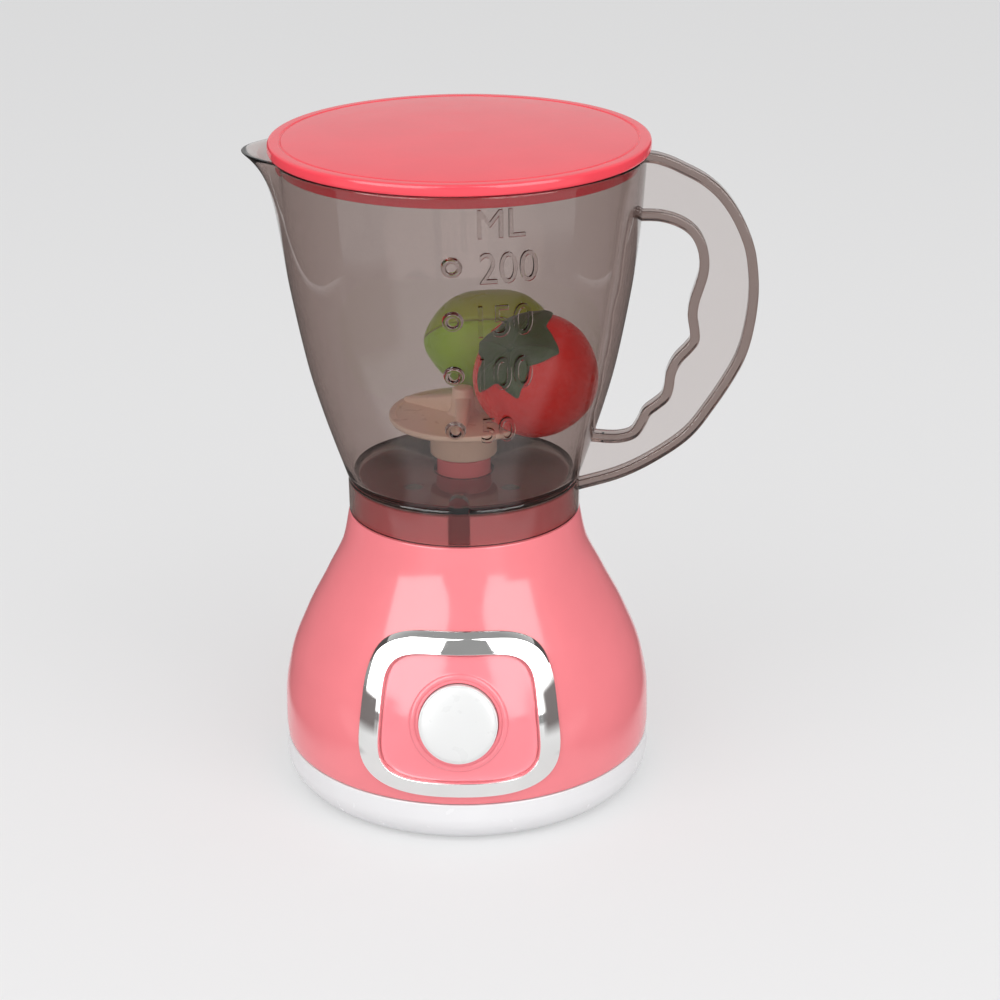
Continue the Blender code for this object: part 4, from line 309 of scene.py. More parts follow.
def rounded(corners, radii, steps=6):
    """A profile through corners, each eased by an arc: it leaves one side at radius x tan(half the turn)."""
    corners = [np.array(c, float) for c in corners]
    points = []
    for i, corner in enumerate(corners):
        if radii[i] == 0 or i in (0, len(corners) - 1):
            points.append(corner)
            continue
        back, on = corners[i - 1] - corner, corners[i + 1] - corner
        back_length, on_length = np.linalg.norm(back), np.linalg.norm(on)
        back, on = back / back_length, on / on_length
        half = math.acos(float(np.clip(back @ on, -1, 1))) / 2
        reach = min(radii[i] / math.tan(half), back_length * 0.49, on_length * 0.49)
        share = np.linspace(0, 1, steps + 1)[:, None]
        a, b = corner + back * reach, corner + on * reach
        points += list((1 - share) ** 2 * a + 2 * share * (1 - share) * corner + share ** 2 * b)
    return np.array(points)


def turned(profile, columns):
    """Carry a (radius, height) profile round Z: x = r cos a, y = r sin a."""
    a, r, z = circle(columns), np.asarray(profile)[:, :1], np.asarray(profile)[:, 1:]
    return np.stack((r * np.cos(a), r * np.sin(a), z + 0 * a), -1)


def capped(grid):
    """A grid whose first and last rows are closed by a fan to their middle."""
    low, high = (np.repeat(row.mean(0)[None, None], grid.shape[1], 1) for row in (grid[0], grid[-1]))
    return np.concatenate((low, grid, high))


def smooth_curve(table, share):
    """Reads rows of (place, value) on a cubic whose slopes are the harmonic means of the steps: it never swings."""
    places, values = np.array(table).T
    steps = np.diff(places)
    slopes = np.diff(values) / steps
    product, total = slopes[:-1] * slopes[1:], slopes[:-1] + slopes[1:]
    inner = np.where(product > 0, 2 * product / np.where(total == 0, 1, total), 0)
    tangents = np.concatenate(([slopes[0]], inner, [slopes[-1]]))
    row = np.clip(np.searchsorted(places, share) - 1, 0, len(steps) - 1)
    t = (share - places[row]) / steps[row]
    bend = tangents[row] * t * (1 - t) ** 2 - tangents[row + 1] * t * t * (1 - t)
    return values[row] + (values[row + 1] - values[row]) * (3 - 2 * t) * t * t + bend * steps[row]


def moved(grid, matrix):
    """Every point of a grid, moved by a 4 x 4 matrix."""
    m = np.array(matrix)
    return grid @ m[:3, :3].T + m[:3, 3]


def fuse(piece, *tools, operation="UNION"):
    """Join solids into one, or cut the tools out of it, and drop the tools."""
    for tool in tools:
        step = piece.modifiers.new("fuse", "BOOLEAN")
        step.operation = operation
        step.solver = "EXACT"
        step.object = tool
        bpy.context.view_layer.update()
        mesh = bpy.data.meshes.new_from_object(piece.evaluated_get(bpy.context.evaluated_depsgraph_get()))
        piece.modifiers.clear()
        piece.data = mesh
        bpy.data.objects.remove(tool, do_unlink=True)
    piece.data.name = piece.name
    return clean(piece)


def settle(piece, body, slot, material, *nodes):
    """Give a piece its finish and its body, and hide the solids of the model that it stands for."""
    piece.data.materials.clear()
    piece.data.materials.append(material)
    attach(piece, body)
    if nodes:
        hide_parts(*nodes)
    print(piece.name, len(piece.data.polygons), "faces, rides on", body)
    return piece

# %% [markdown]
# ## Finishes
# Toy plastic is seldom one flat colour: the mould leaves a faint orange-peel wave, the gloss changes a little from
# place to place, and the colour swirls by a shade. A picture could be wrapped round each piece, but patterns worked
# out from the place in the solid need no wrapping and stay sharp at any distance. One recipe serves every moulded
# piece, with its own colour, gloss and wave.

# %% Moulded plastic and metal
def noise_of(tree, place, scale, detail=2.0, stretch=None):
    """A noise pattern at so many waves a metre, stretched along an axis if asked."""
    if stretch:
        place = add_node(tree, "ShaderNodeMapping", place, Scale=stretch).outputs[0]
    return add_node(tree, "ShaderNodeTexNoise", place, Scale=scale, Detail=detail).outputs["Fac"]


def ramp_between(tree, factor, low, high, target, at=(0.3, 0.7)):
    """Map a pattern from its usual range to a range of values, into a socket."""
    node = add_node(tree, "ShaderNodeMapRange", factor, From_Min=at[0], From_Max=at[1], To_Min=low, To_Max=high)
    tree.links.new(node.outputs[0], target)


def two_shades(tree, factor, first, second, target, at=(0.35, 0.65)):
    """Run between two colours as a pattern goes from one value to another."""
    node = add_node(tree, "ShaderNodeValToRGB", factor)
    for element, spot, colour in zip(node.color_ramp.elements, at, (first, second)):
        element.position = spot
        element.color = (*colour, 1)
    tree.links.new(node.outputs[0], target)


def add_wave(tree, shader, factor, height):
    """Raise the surface by a pattern, in metres, for the shading alone."""
    node = add_node(tree, "ShaderNodeBump", Strength=1.0, Distance=height, Height=factor)
    tree.links.new(node.outputs[0], shader.inputs["Normal"])
    return node


def set_sockets(shader, **values):
    """Set a shader's sockets by name."""
    for key, value in values.items():
        shader.inputs[key.replace("_", " ")].default_value = value


def start_finish(name, colours=None, gloss=(0.2, 0.4), swirl=(45, 3.0), speckle=(260, 4.0), at=(0.35, 0.65)):
    """A new material: its gloss changes from place to place, and its colour swirls between two if they are given."""
    material = bpy.data.materials.new(name)
    material.use_nodes = True
    tree = material.node_tree
    shader, place = tree.nodes["Principled BSDF"], add_node(tree, "ShaderNodeTexCoord").outputs["Object"]
    if colours:
        two_shades(tree, noise_of(tree, place, *swirl), *colours, shader.inputs["Base Color"], at)
    ramp_between(tree, noise_of(tree, place, *speckle), *gloss, shader.inputs["Roughness"])
    return material, tree, shader, place


def shaded(colour, shade):
    """A darker shade of a colour, and the colour."""
    return tuple(c * shade for c in colour), colour


def plastic(name, colour, shade=0.9, gloss=(0.16, 0.24), wave=0.00002, wave_scale=160, level=0.5):
    """Moulded plastic: a swirl between the colour and a shade of it, uneven gloss, and an orange-peel wave."""
    material, tree, shader, place = start_finish(name, shaded(colour, shade), gloss)
    peel = add_wave(tree, shader, noise_of(tree, place, wave_scale, 1.0), wave)
    add_wave(tree, peel, noise_of(tree, place, 2600, 2.0), wave / 6)
    set_sockets(shader, Specular_IOR_Level=level)
    return material


def metal(name, colour, gloss=(0.22, 0.38)):
    """Metal with fine lines from rolling or turning, and a gloss that changes along them."""
    lines = (900, 3.0, (1, 1, 12))
    material, tree, shader, place = start_finish(name, shaded(colour, 0.82), gloss, lines, lines)
    add_wave(tree, shader, noise_of(tree, place, *lines), 0.000004)
    set_sockets(shader, Metallic=1.0)
    return material


coral = plastic("coral_plastic", (0.95, 0.245, 0.275), 0.96, (0.10, 0.15), 0.000012, 120)
panel_coral = plastic("panel_plastic", (0.95, 0.255, 0.295), 0.96, (0.12, 0.18), 0.000010, 150)
lid_red = plastic("lid_plastic", (0.95, 0.070, 0.100), 0.95, (0.14, 0.22), 0.000012, 120)
pan_white = plastic("pan_plastic", (0.84, 0.84, 0.855), 0.97, (0.18, 0.28), 0.000010, 140)
button_white = plastic("button_plastic", (0.75, 0.757, 0.755), 0.998, (0.27, 0.29), 0.0000008)
cream = plastic("cream_plastic", (0.92, 0.79, 0.64), 0.93, (0.26, 0.36), 0.000012, 150)
nylon = plastic("nylon", (0.78, 0.78, 0.75), 0.94, (0.34, 0.46), 0.000012, 300)
black_plastic = plastic("black_plastic", (0.025, 0.025, 0.027), 0.8, (0.30, 0.42), 0.00001, 400)
zinc = metal("bright_zinc", (0.66, 0.66, 0.67))
brass = metal("turned_brass", (0.72, 0.52, 0.22), (0.18, 0.30))
print("finishes so far", len(bpy.data.materials))

# %% [markdown]
# Chrome on plastic is a mirror with hardly any colour. Its only texture is the slow wave of the moulding under the
# plating, which bends the reflections a little. A rough grey metal would lose the bright band and the dark patches.

# %% Chrome
chrome, tree, shader, place = start_finish("chrome_plating", ((0.84, 0.84, 0.83), (0.90, 0.90, 0.89)), (0.03, 0.07),
                                           (60, 2.0), (500, 3.0))
add_wave(tree, shader, noise_of(tree, place, 170, 1.0), 0.000012)
set_sockets(shader, Metallic=1.0)
print(chrome.name, len(tree.nodes), "nodes")

# %% [markdown]
# ## Smoky plastic
# The jar is clear plastic with a grey-brown dye all through it, so a thick place is darker than a thin one. A dark
# coat on the faces can't do that, so the dye is a volume that swallows light with depth. Light that falls on the
# fruit inside would be stopped by the glass of the shader, so rays from lamps and rays between matt surfaces go
# through unbent and only lose the dye's share.

# %% Smoke
SMOKE_DENSITY = 400
SMOKE_TINT = (0.35, 0.185, 0.13)
smoke, tree, shader, place = start_finish("smoky_plastic", gloss=(0.001, 0.012), speckle=(220, 4.0))
set_sockets(shader, Base_Color=(1, 1, 1, 1), Transmission_Weight=1.0, IOR=1.49, Specular_IOR_Level=0.3)
add_wave(tree, shader, noise_of(tree, place, 90, 1.0), 0.000010)
path = add_node(tree, "ShaderNodeLightPath").outputs
through = add_node(tree, "ShaderNodeBsdfTransparent").outputs[0]
dye = add_node(tree, "ShaderNodeVolumeAbsorption", Color=(*SMOKE_TINT, 1), Density=SMOKE_DENSITY)
matt_rays = mix_shaders(tree, path["Is Diffuse Ray"], shader.outputs[0], through)
lamp_rays = mix_shaders(tree, path["Is Shadow Ray"], matt_rays, through)
out = tree.nodes["Material Output"]
tree.links.new(lamp_rays, out.inputs["Surface"])
tree.links.new(dye.outputs[0], out.inputs["Volume"])
print(smoke.name, "swallows with density", SMOKE_DENSITY, "a metre")

# %% [markdown]
# ## Sizes from the model
# The shell is a bell, and the jar a flared cone. Both are a height and a radius read off a smooth curve, the same one
# that the solids use, so a dressed surface lies exactly on its solid. Copying a mesh and subdividing it would keep
# its flat facets.

# %% Sizes of the base and the jar
GAP = 0.3
SEAM, BELLY, SHOULDER, BODY = 12.2, 50.7, 31.4, 65.5
BODY_SHARES = ((0.00, 0.985), (0.06, 0.998), (0.18, 0.990), (0.34, 0.900), (0.52, 0.666), (0.70, 0.355), (0.86, 0.100),
               (1.00, 0.000))
SHOULDER_TOP = SEAM + BODY
SPIGOT_TOP, SPIGOT_RADIUS = 86.0, 29.4
TOWER_TOP, TOWER_RADIUS = 92.9, 7.3
JAR_BOTTOM, JAR_FLOOR = 78.0, 88.8
JAR_WAIST, JAR_MOUTH, CONE, JAR_WALL = 31.8, 48.7, 88.0, 1.7
JAR_RIM = JAR_FLOOR + CONE
JAR_SHARES = ((0.000, 0.000), (0.125, 0.215), (0.205, 0.345), (0.330, 0.525), (0.424, 0.630), (0.560, 0.760),
              (0.650, 0.835), (0.810, 0.930), (1.000, 1.000))


def body_radius(z):
    """The bell's radius at a height: the shoulder's, plus a share of the way to the belly's."""
    return SHOULDER + (BELLY - SHOULDER) * smooth_curve(BODY_SHARES, np.clip((z - SEAM) / BODY, 0, 1))


def jar_radius(z):
    """The cone's outer radius at a height: the waist's, plus a share of the way to the mouth's."""
    return JAR_WAIST + (JAR_MOUTH - JAR_WAIST) * smooth_curve(JAR_SHARES, np.clip((z - JAR_FLOOR) / CONE, 0, 1))


def on_turned(radius_at, x, z, offset):
    """The point in front of the axis at x and z on a turned surface, moved along its true normal."""
    r = radius_at(z)
    slope = (radius_at(z + 0.2) - radius_at(z - 0.2)) / 0.4
    y = -np.sqrt(np.maximum(r * r - x * x, 0))
    normal = np.stack((x / r, y / r, -slope), -1) / np.sqrt(1 + slope ** 2)[..., None]
    return np.stack((x, y, z), -1) + normal * np.asarray(offset)[..., None]


def loop_points(width, height, power, taper, rise, columns):
    """A rounded trapezoid round the front: a superellipse whose width shrinks as it rises. Columns of x and z."""
    a = circle(columns)
    across = np.sign(np.cos(a)) * np.abs(np.cos(a)) ** (2 / power)
    up = np.sign(np.sin(a)) * np.abs(np.sin(a)) ** (2 / power)
    return np.stack((width * across * (1 - taper * up), SEAM + rise + height * up), -1)


def panel_loop(margin, columns):
    """The control panel's outline, grown by a margin."""
    return loop_points(20.5 + margin, 16.3 + margin, 4.5, 0.071, 23.1, columns)


def bezel_loop(columns):
    """The chrome frame's outer outline."""
    return loop_points(25.9, 21.2, 3.6, 0.095, 23.9, columns)


print("belly", round(float(body_radius(24.0)), 2), "mouth", round(float(jar_radius(JAR_RIM)), 2))


# %% Prisms and rods
def prism(name, outline, low, high):
    """A flat (x, y) outline raised from one height to another."""
    return surface(name, capped(np.array([np.column_stack((outline, np.full(len(outline), z))) for z in (low, high)])))


def rods(name, radius, low, high, places=((0, 0),), columns=24):
    """A round bar along Z at each of some places."""
    ring = radius * np.column_stack((np.cos(circle(columns)), np.sin(circle(columns))))
    return [prism(name, place + ring, low, high) for place in places]


def block(name, low, high):
    """A box between two corners."""
    (x0, y0, z0), (x1, y1, z1) = low, high
    return prism(name, ((x0, y0), (x1, y0), (x1, y1), (x0, y1)), z0, z1)


def polar(radius, degrees, centre=(0, 0)):
    """The point at a radius and an angle round a centre."""
    turn = math.radians(degrees)
    return centre[0] + radius * math.cos(turn), centre[1] + radius * math.sin(turn)


def stand(piece):
    """Turn a flat shape up: its (x, y) becomes (x, z), and its height runs along y."""
    piece.data.transform(Matrix(((1, 0, 0, 0), (0, 0, 1, 0), (0, 1, 0, 0), (0, 0, 0, 1))))
    return clean(piece)

# %% [markdown]
# ## The body shell
# The coral bell is one moulding: a rounded skirt, a waist, a shoulder for the jar, a low spigot, and a tower for the
# drive. A profile turned about the axis gives the whole bell with a true wall. The window for the panel, the slot for
# the jar's key and the holes for the two lights are cut from it, because a grid can't have holes of other shapes.

# %% Body shell
BODY_WALL = 2.0
SEAM_R = body_radius(SEAM)
TOWER_BORE, TOWER_NECK = 5.3, 3.5
heights = np.linspace(SEAM + 0.5, SHOULDER_TOP - 0.5, 84)
outside = [(SEAM_R - 0.45, SEAM), (SEAM_R - 0.12, SEAM + 0.12)]
outside += list(zip(body_radius(heights), heights))
top = rounded([outside[-1], (SHOULDER, SHOULDER_TOP), (SPIGOT_RADIUS, SHOULDER_TOP), (SPIGOT_RADIUS, SPIGOT_TOP),
               (TOWER_RADIUS, SPIGOT_TOP), (TOWER_RADIUS, TOWER_TOP), (TOWER_NECK, TOWER_TOP),
               (TOWER_NECK, TOWER_TOP - 2), (TOWER_BORE, TOWER_TOP - 2), (TOWER_BORE, SPIGOT_TOP - BODY_WALL),
               (SPIGOT_RADIUS - BODY_WALL, SPIGOT_TOP - BODY_WALL),
               (SPIGOT_RADIUS - BODY_WALL, SHOULDER_TOP - BODY_WALL),
               (body_radius(SHOULDER_TOP - 2 * BODY_WALL) - BODY_WALL, SHOULDER_TOP - 2 * BODY_WALL)],
              [0, 0.5, 0.3, 0.8, 0.8, 0.8, 0.2, 0, 0, 0, 0, 0, 0])
heights = np.linspace(SHOULDER_TOP - 3 * BODY_WALL, SEAM, 24)
inside = list(zip(body_radius(heights) - BODY_WALL, heights))
shell = surface("body_shell", turned(np.vstack((outside, top[1:], inside)), 256), ring_rows=True)

SCREW_HOLE = 1.4
BOSS_PLACES = [polar(41.0, angle) for angle in (40, 140, 220, 320)]
GEARBOX_PLACES = [polar(20.0, angle, (0, 4.5)) for angle in (0, 180, 270)]
LIGHT_PLACES = [polar(17.0, angle) for angle in (-140, -40)]
posts = rods("post", 3.2, 15.3, 43.7, BOSS_PLACES) + rods("post", 2.7, 64.6, SPIGOT_TOP - 1, GEARBOX_PLACES)
holes = rods("hole", SCREW_HOLE, 12.0, 24.2, BOSS_PLACES) + rods("hole", SCREW_HOLE, 62.0, 72.7, GEARBOX_PLACES)
holes += rods("hole", 2.8, 82.0, 88.0, LIGHT_PLACES)
holes.append(block("slot", (-2.9, -32.0, SHOULDER_TOP), (2.9, -27.5, SPIGOT_TOP + 2)))
holes.append(stand(prism("window", panel_loop(2.6, 96), -76, -25)))
fuse(shell, *posts)
fuse(shell, *holes, operation="DIFFERENCE")
settle(shell, "base", "base_shell", coral, "base_shell")

# %% [markdown]
# ## The bottom pan
# The white foot curls under the bell and stands on a flat ring. It could be a bowl, but the real one carries the
# battery bay, so the same turned solid takes the bay, the screw posts and the wells, and the door closes it from below.

# %% Bottom pan
PAN_FOOT, PAN_TOP = 43.8, SEAM - GAP
curl = np.linspace(0, math.pi / 2, 24)
outside = np.column_stack((PAN_FOOT + (BELLY - PAN_FOOT) * np.sin(curl), SEAM * 0.62 * (1 - np.cos(curl))))
tongue = SEAM_R - BODY_WALL - GAP
edge = rounded([outside[-1], (SEAM_R, PAN_TOP), (tongue, PAN_TOP), (tongue, PAN_TOP + 3.1),
                (tongue - 1.6, PAN_TOP + 3.1), (tongue - 1.6, SEAM / 2), (PAN_FOOT - 1, 2), (0, 2)],
               [0, 0.4, 0, 0.3, 0.3, 1.0, 2.0, 0])
pan = surface("bottom_pan", turned(np.vstack(((0, 0), outside, edge[1:])), 192))

BAY_LONG, BAY_DEEP, BAY_WALL = 28.45, 14.9, 1.5
BAY_ROOF, BAY_TOP, DOOR_TOP = 16.8, 18.3, 2.0
DOOR_SCREW_AT = (33.45, 0.0)


def door_outline(margin):
    """The door's outline: a rectangle over the bay, with a round tab for its screw."""
    long, deep, tab, cut = BAY_LONG + 2.2 + margin, BAY_DEEP + 2.2 + margin, 5.4 + margin, 2.0
    a = np.linspace(-math.pi / 2, math.pi / 2, 25)
    tip = np.column_stack((DOOR_SCREW_AT[0] + tab * np.cos(a), tab * np.sin(a)))
    return np.vstack(((cut - long, -deep), (long, -deep), (long, -tab), tip, (long, tab), (long, deep),
                      (cut - long, deep), (-long, deep - cut), (-long, cut - deep)))


added = [prism("ledge", door_outline(2.2), 1.0, DOOR_TOP + 1.5),
         block("bay", (-BAY_LONG - BAY_WALL, -BAY_DEEP - BAY_WALL, DOOR_TOP + GAP),
               (BAY_LONG + BAY_WALL, BAY_DEEP + BAY_WALL, BAY_TOP)),
         *rods("boss", 3.2, DOOR_TOP + GAP, 10.0, [DOOR_SCREW_AT]), *rods("post", 4.2, 1.0, 15.0, BOSS_PLACES)]
opened = [prism("opening", door_outline(GAP), -2, DOOR_TOP + GAP),
          block("hollow", (-BAY_LONG, -BAY_DEEP, 0), (BAY_LONG, BAY_DEEP, BAY_ROOF)),
          *rods("thread", SCREW_HOLE, 0, 8.3, [DOOR_SCREW_AT], 16), *rods("well", 2.7, -2, 11.45, BOSS_PLACES),
          *rods("hole", SCREW_HOLE, -2, 17, BOSS_PLACES, 16)]
fuse(pan, *added)
fuse(pan, *opened, operation="DIFFERENCE")
settle(pan, "base", "base_pan", pan_white, "base_pan")

# %% [markdown]
# ## The chrome frame
# The frame is a rounded trapezoid that wraps the bell: one smooth band that swells towards a ridge, and outside the
# ridge a chamfer that rolls down into the shell. A picture frame would be swept along a flat curve, but this one
# follows two outlines at once, so the section's places are shares of the way from the panel's outline to its own.

# %% Chrome frame
FRAME_COLUMNS = 320
foot = rounded([(0.06, 0.3), (0.06, -0.5), (0.0, -0.5), (0.0, 1.22), (0.12, 1.27)], [0, 0, 0.05, 0.12, 0], steps=5)
across = np.linspace(0.12, 1, 14)[1:]
band_lift = 1.22 + 0.30 * (1 - (1 - across) ** 2)
down = np.linspace(0, 1, 16)[1:] ** 0.8
chamfer_lift = 0.35 + 0.55 * (1 - down) + 0.62 * np.sqrt(1 - down)
band_share = np.concatenate(([1], foot[:, 0], across, np.ones(len(down))))
chamfer_share = np.concatenate(([1], 0 * foot[:, 0], 0 * across, down))
lift = np.concatenate(([0.3], foot[:, 1], band_lift, chamfer_lift))


def chrome_grid():
    """Share of the way = band part x its width + chamfer part x its width, which grows where the frame faces up."""
    inner, outer = panel_loop(0, FRAME_COLUMNS), bezel_loop(FRAME_COLUMNS)
    width = 0.12 + 0.26 * np.clip(np.sin(circle(FRAME_COLUMNS)), 0, 1) ** 2
    share = band_share[:, None] * (1 - width) + chamfer_share[:, None] * width
    place = inner + (outer - inner) * share[..., None]
    return on_turned(body_radius, place[..., 0], place[..., 1], lift[:, None] + 0 * share)


chrome_frame = surface("chrome_frame", chrome_grid(), ring_rows=True, sharp=40)
settle(chrome_frame, "base", "bezel", chrome, "bezel")

# %% [markdown]
# ## The control panel
# The panel is a thin skin of the bell inside the frame, with a low ring round the button. Its rows start as circles
# round the button's tilted axis and ease into the panel's outline, so the ring stays round and the edge stays
# parallel to the chrome.

# %% Control panel
BUTTON_TILT, BUTTON_AT = math.radians(17), 35.1
PANEL_COLUMNS, PANEL_BACK = 256, -3.4
outward = Vector((0, -math.cos(BUTTON_TILT), math.sin(BUTTON_TILT)))
sideways = Vector((1, 0, 0))
button_matrix = frame_of(sideways, outward.cross(sideways), outward, (0, -body_radius(BUTTON_AT), BUTTON_AT))


def round_the_button(radius):
    """Where circles round the button's axis meet the bell, as x and z: the depth is found by a few even steps."""
    a = circle(PANEL_COLUMNS)
    u, v = radius[:, None] * np.cos(a), radius[:, None] * np.sin(a)
    depth = 0 * u
    for _ in range(8):
        point = moved(np.stack((u, v, depth), -1), button_matrix)
        gap = body_radius(point[..., 2]) - np.hypot(point[..., 0], point[..., 1])
        depth = depth + gap / math.cos(BUTTON_TILT)
    return point[..., [0, 2]]


RING = np.array(((10.7, -3.0), (10.7, -0.55), (10.75, -0.4), (10.9, -0.31), (11.1, -0.3), (11.3, -0.3),
                 (11.45, -0.26), (11.6, -0.04), (11.8, 0.15), (12.1, 0.26), (12.5, 0.26), (12.8, 0.15),
                 (13.0, -0.04), (13.15, -0.26), (13.3, -0.3), (13.6, -0.3), (14.2, -0.3)))
circles = round_the_button(RING[:, 0])
edge, back = panel_loop(-GAP, PANEL_COLUMNS), panel_loop(2.3, PANEL_COLUMNS)
ease = np.linspace(0, 1, 22)[1:-1, None, None]
field = circles[-1] + (edge - circles[-1]) * ease
skin = np.concatenate((circles, field, [edge, edge, edge, back, back], field[::-4], circles[:1]))
up = np.concatenate((RING[:, 1], np.full(len(field), -0.3), (-0.32, -0.5, -0.62, -0.62), np.full(7, PANEL_BACK)))
grid = on_turned(body_radius, skin[..., 0], skin[..., 1], up[:, None] + 0 * skin[..., 0])
panel = surface("panel", grid, ring_rows=True, sharp=40)
settle(panel, "base", "control_panel", panel_coral, "control_panel")

# %% [markdown]
# ## The button
# A white cap with a shallow dome. The dome is a quarter of an ellipse, eased at the edge so that it shows a thin line
# of light, and below it the cap goes on through the panel to its flange and sleeve.

# %% Button
CAP_R, FLANGE_R, SLEEVE_R = 10.4, 11.6, 2.6
dome_turn = np.linspace(0, math.pi / 2, 20)
dome = np.column_stack((10.1 * np.sin(dome_turn), 1.35 + 1.25 * np.cos(dome_turn)))
body_part = rounded([dome[-1], (CAP_R, 1.3), (CAP_R, -5.53), (FLANGE_R, -5.53), (FLANGE_R, -6.73), (SLEEVE_R, -6.73),
                     (SLEEVE_R, -9.13), (0, -9.13)], [0, 0.3, 0, 0, 0, 0, 0, 0])
button = surface("button", moved(turned(np.vstack((dome, body_part[1:])), 160), button_matrix))
settle(button, "button", "power_button", button_white, "power_button")

# %% [markdown]
# ## The jar
# The jar is one moulding: a collar that sits on the spigot, a floor with a hole for the tower, a flared cone, and a
# spout drawn out of the rim. The wall is a closed loop of rows, out, over the rim, down the inside, across the floor
# and back. Solidify could thicken a single sheet, but the rim, the fillet at the floor and the dye's true depth need
# the real section.

# %% Jar wall
JAR_COLUMNS = 256
COLLAR_INNER, HOLE = 29.7, 7.9
SPOUT_REACH, SPOUT_ANGLE, SPOUT_FADE = 8.4, 22, 6.2


def spout_push(angle, z):
    """How far the spout draws the wall out: a bell across its angle each side of -x, fading down from the rim."""
    off = np.degrees(np.abs(np.angle(np.exp(1j * (angle - math.pi))))) / SPOUT_ANGLE
    return SPOUT_REACH * np.where(off < 1, (1 - off ** 2) ** 2, 0) * np.exp((z - JAR_RIM) / SPOUT_FADE)


up_high = JAR_FLOOR + CONE * (1 - np.linspace(1, 0, 64) ** 1.35)
cone_out = np.column_stack((jar_radius(up_high), up_high))
cone_in = np.column_stack((jar_radius(up_high) - JAR_WALL, up_high))[::-1]
collar = rounded([(COLLAR_INNER, JAR_BOTTOM + 1), (COLLAR_INNER, JAR_BOTTOM), (SHOULDER, JAR_BOTTOM),
                  (SHOULDER, JAR_FLOOR - 1), (SHOULDER - 0.25, JAR_FLOOR - 0.6), cone_out[0], cone_out[1]],
                 [0, 0.3, 0.4, 0.2, 0.2, 0.2, 0])
rim = rounded([cone_out[-4], (JAR_MOUTH, JAR_RIM), (JAR_MOUTH - JAR_WALL, JAR_RIM), cone_in[3]], [0, 0.7, 0.7, 0],
              steps=8)
bottom = rounded([cone_in[-4], cone_in[-1], (HOLE, JAR_FLOOR), (HOLE, JAR_FLOOR - 2), (COLLAR_INNER, JAR_FLOOR - 2),
                  (COLLAR_INNER, JAR_BOTTOM + 1)], [0, 2.0, 0.4, 0.4, 0.8, 0])
profile = np.vstack((collar[1:-1], cone_out[1:-4], rim, cone_in[4:-4], bottom[:-1]))
grid = turned(profile, JAR_COLUMNS)
angle = np.arctan2(grid[..., 1], grid[..., 0])
stretch = 1 + spout_push(angle, grid[..., 2]) / np.hypot(grid[..., 0], grid[..., 1])
grid[..., :2] *= np.where(grid[..., 2] > JAR_FLOOR, stretch, 1)[..., None]
jar = surface("jar_body", grid, ring_rows=True)
print("jar wall", len(jar.data.polygons), "faces")

# %% [markdown]
# ## The handle
# Two flat rails make the handle: an outer arc and an inner one with waves for the fingers, and a thin web fills the
# room between them. A smooth curve goes through a few points of each rail, and a rounded bar is carried along it. The
# points are given past the jar's wall and down from the rim, so that the handle stays on the jar.

# %% Handle
RAIL_OUT = ((-0.091, 0.014), (0.064, 0.017), (0.195, 0.029), (0.303, 0.044), (0.509, 0.077), (0.686, 0.122),
            (0.842, 0.185), (0.974, 0.261), (1.045, 0.328), (1.099, 0.404), (1.123, 0.492), (1.115, 0.575),
            (1.068, 0.643), (0.977, 0.731), (0.854, 0.822), (0.623, 0.894), (0.346, 0.945), (-0.046, 0.982))
RAIL_IN = ((-0.022, 0.180), (0.087, 0.180), (0.185, 0.183), (0.308, 0.194), (0.423, 0.213), (0.509, 0.239),
           (0.573, 0.275), (0.608, 0.314), (0.615, 0.350), (0.602, 0.386), (0.586, 0.427), (0.594, 0.468),
           (0.642, 0.513), (0.660, 0.542), (0.622, 0.567), (0.550, 0.601), (0.524, 0.640), (0.542, 0.680),
           (0.540, 0.711), (0.488, 0.733), (0.419, 0.757), (0.402, 0.788), (0.367, 0.821), (0.273, 0.834),
           (0.146, 0.836), (-0.062, 0.830))
HANDLE_REACH, HANDLE_DROP, HANDLE_TOP = 29.4, 94.0, JAR_RIM - 0.6
RAIL_THICK, RAIL_DEEP, RAIL_EDGE, WEB_THICK = 2.6, 4.6, 0.8, 1.0


def rail_path(table, count):
    """Even points along a Catmull-Rom curve through a rail's places, as x and z."""
    reach, drop = np.array(table).T
    z = HANDLE_TOP - HANDLE_DROP * drop
    knots = np.column_stack((jar_radius(z) + HANDLE_REACH * reach, z))
    knots = np.vstack((2 * knots[0] - knots[1], knots, 2 * knots[-1] - knots[-2]))
    t = np.linspace(0, 1, 12, endpoint=False)[None, :, None]
    a, b, c, d = (knots[i:len(knots) - 3 + i, None] for i in range(4))
    curve = 0.5 * (2 * b + (c - a) * t + (2 * a - 5 * b + 4 * c - d) * t ** 2 + (3 * b - a - 3 * c + d) * t ** 3)
    curve = np.vstack((curve.reshape(-1, 2), knots[-2]))
    length = np.concatenate(([0], np.cumsum(np.linalg.norm(np.diff(curve, axis=0), axis=1))))
    even = np.linspace(0, length[-1], count)
    return np.column_stack((np.interp(even, length, curve[:, 0]), np.interp(even, length, curve[:, 1])))


def rail(name, path):
    """A rounded bar along a path in the x-z plane: the section's first axis is the path's normal, the second is y."""
    half, deep = RAIL_THICK / 2, RAIL_DEEP / 2
    ring = rounded([(0, -deep), (half, -deep), (half, deep), (-half, deep), (-half, -deep), (0, -deep)],
                   [RAIL_EDGE] * 6, steps=5)[:-1]
    along = np.gradient(path, axis=0)
    along /= np.linalg.norm(along, axis=1)[:, None]
    side = np.column_stack((-along[:, 1], along[:, 0]))
    x = path[:, :1] + side[:, :1] * ring[:, 0]
    z = path[:, 1:] + side[:, 1:] * ring[:, 0]
    return surface(name, capped(np.stack((x, 0 * x + ring[:, 1], z), -1)))


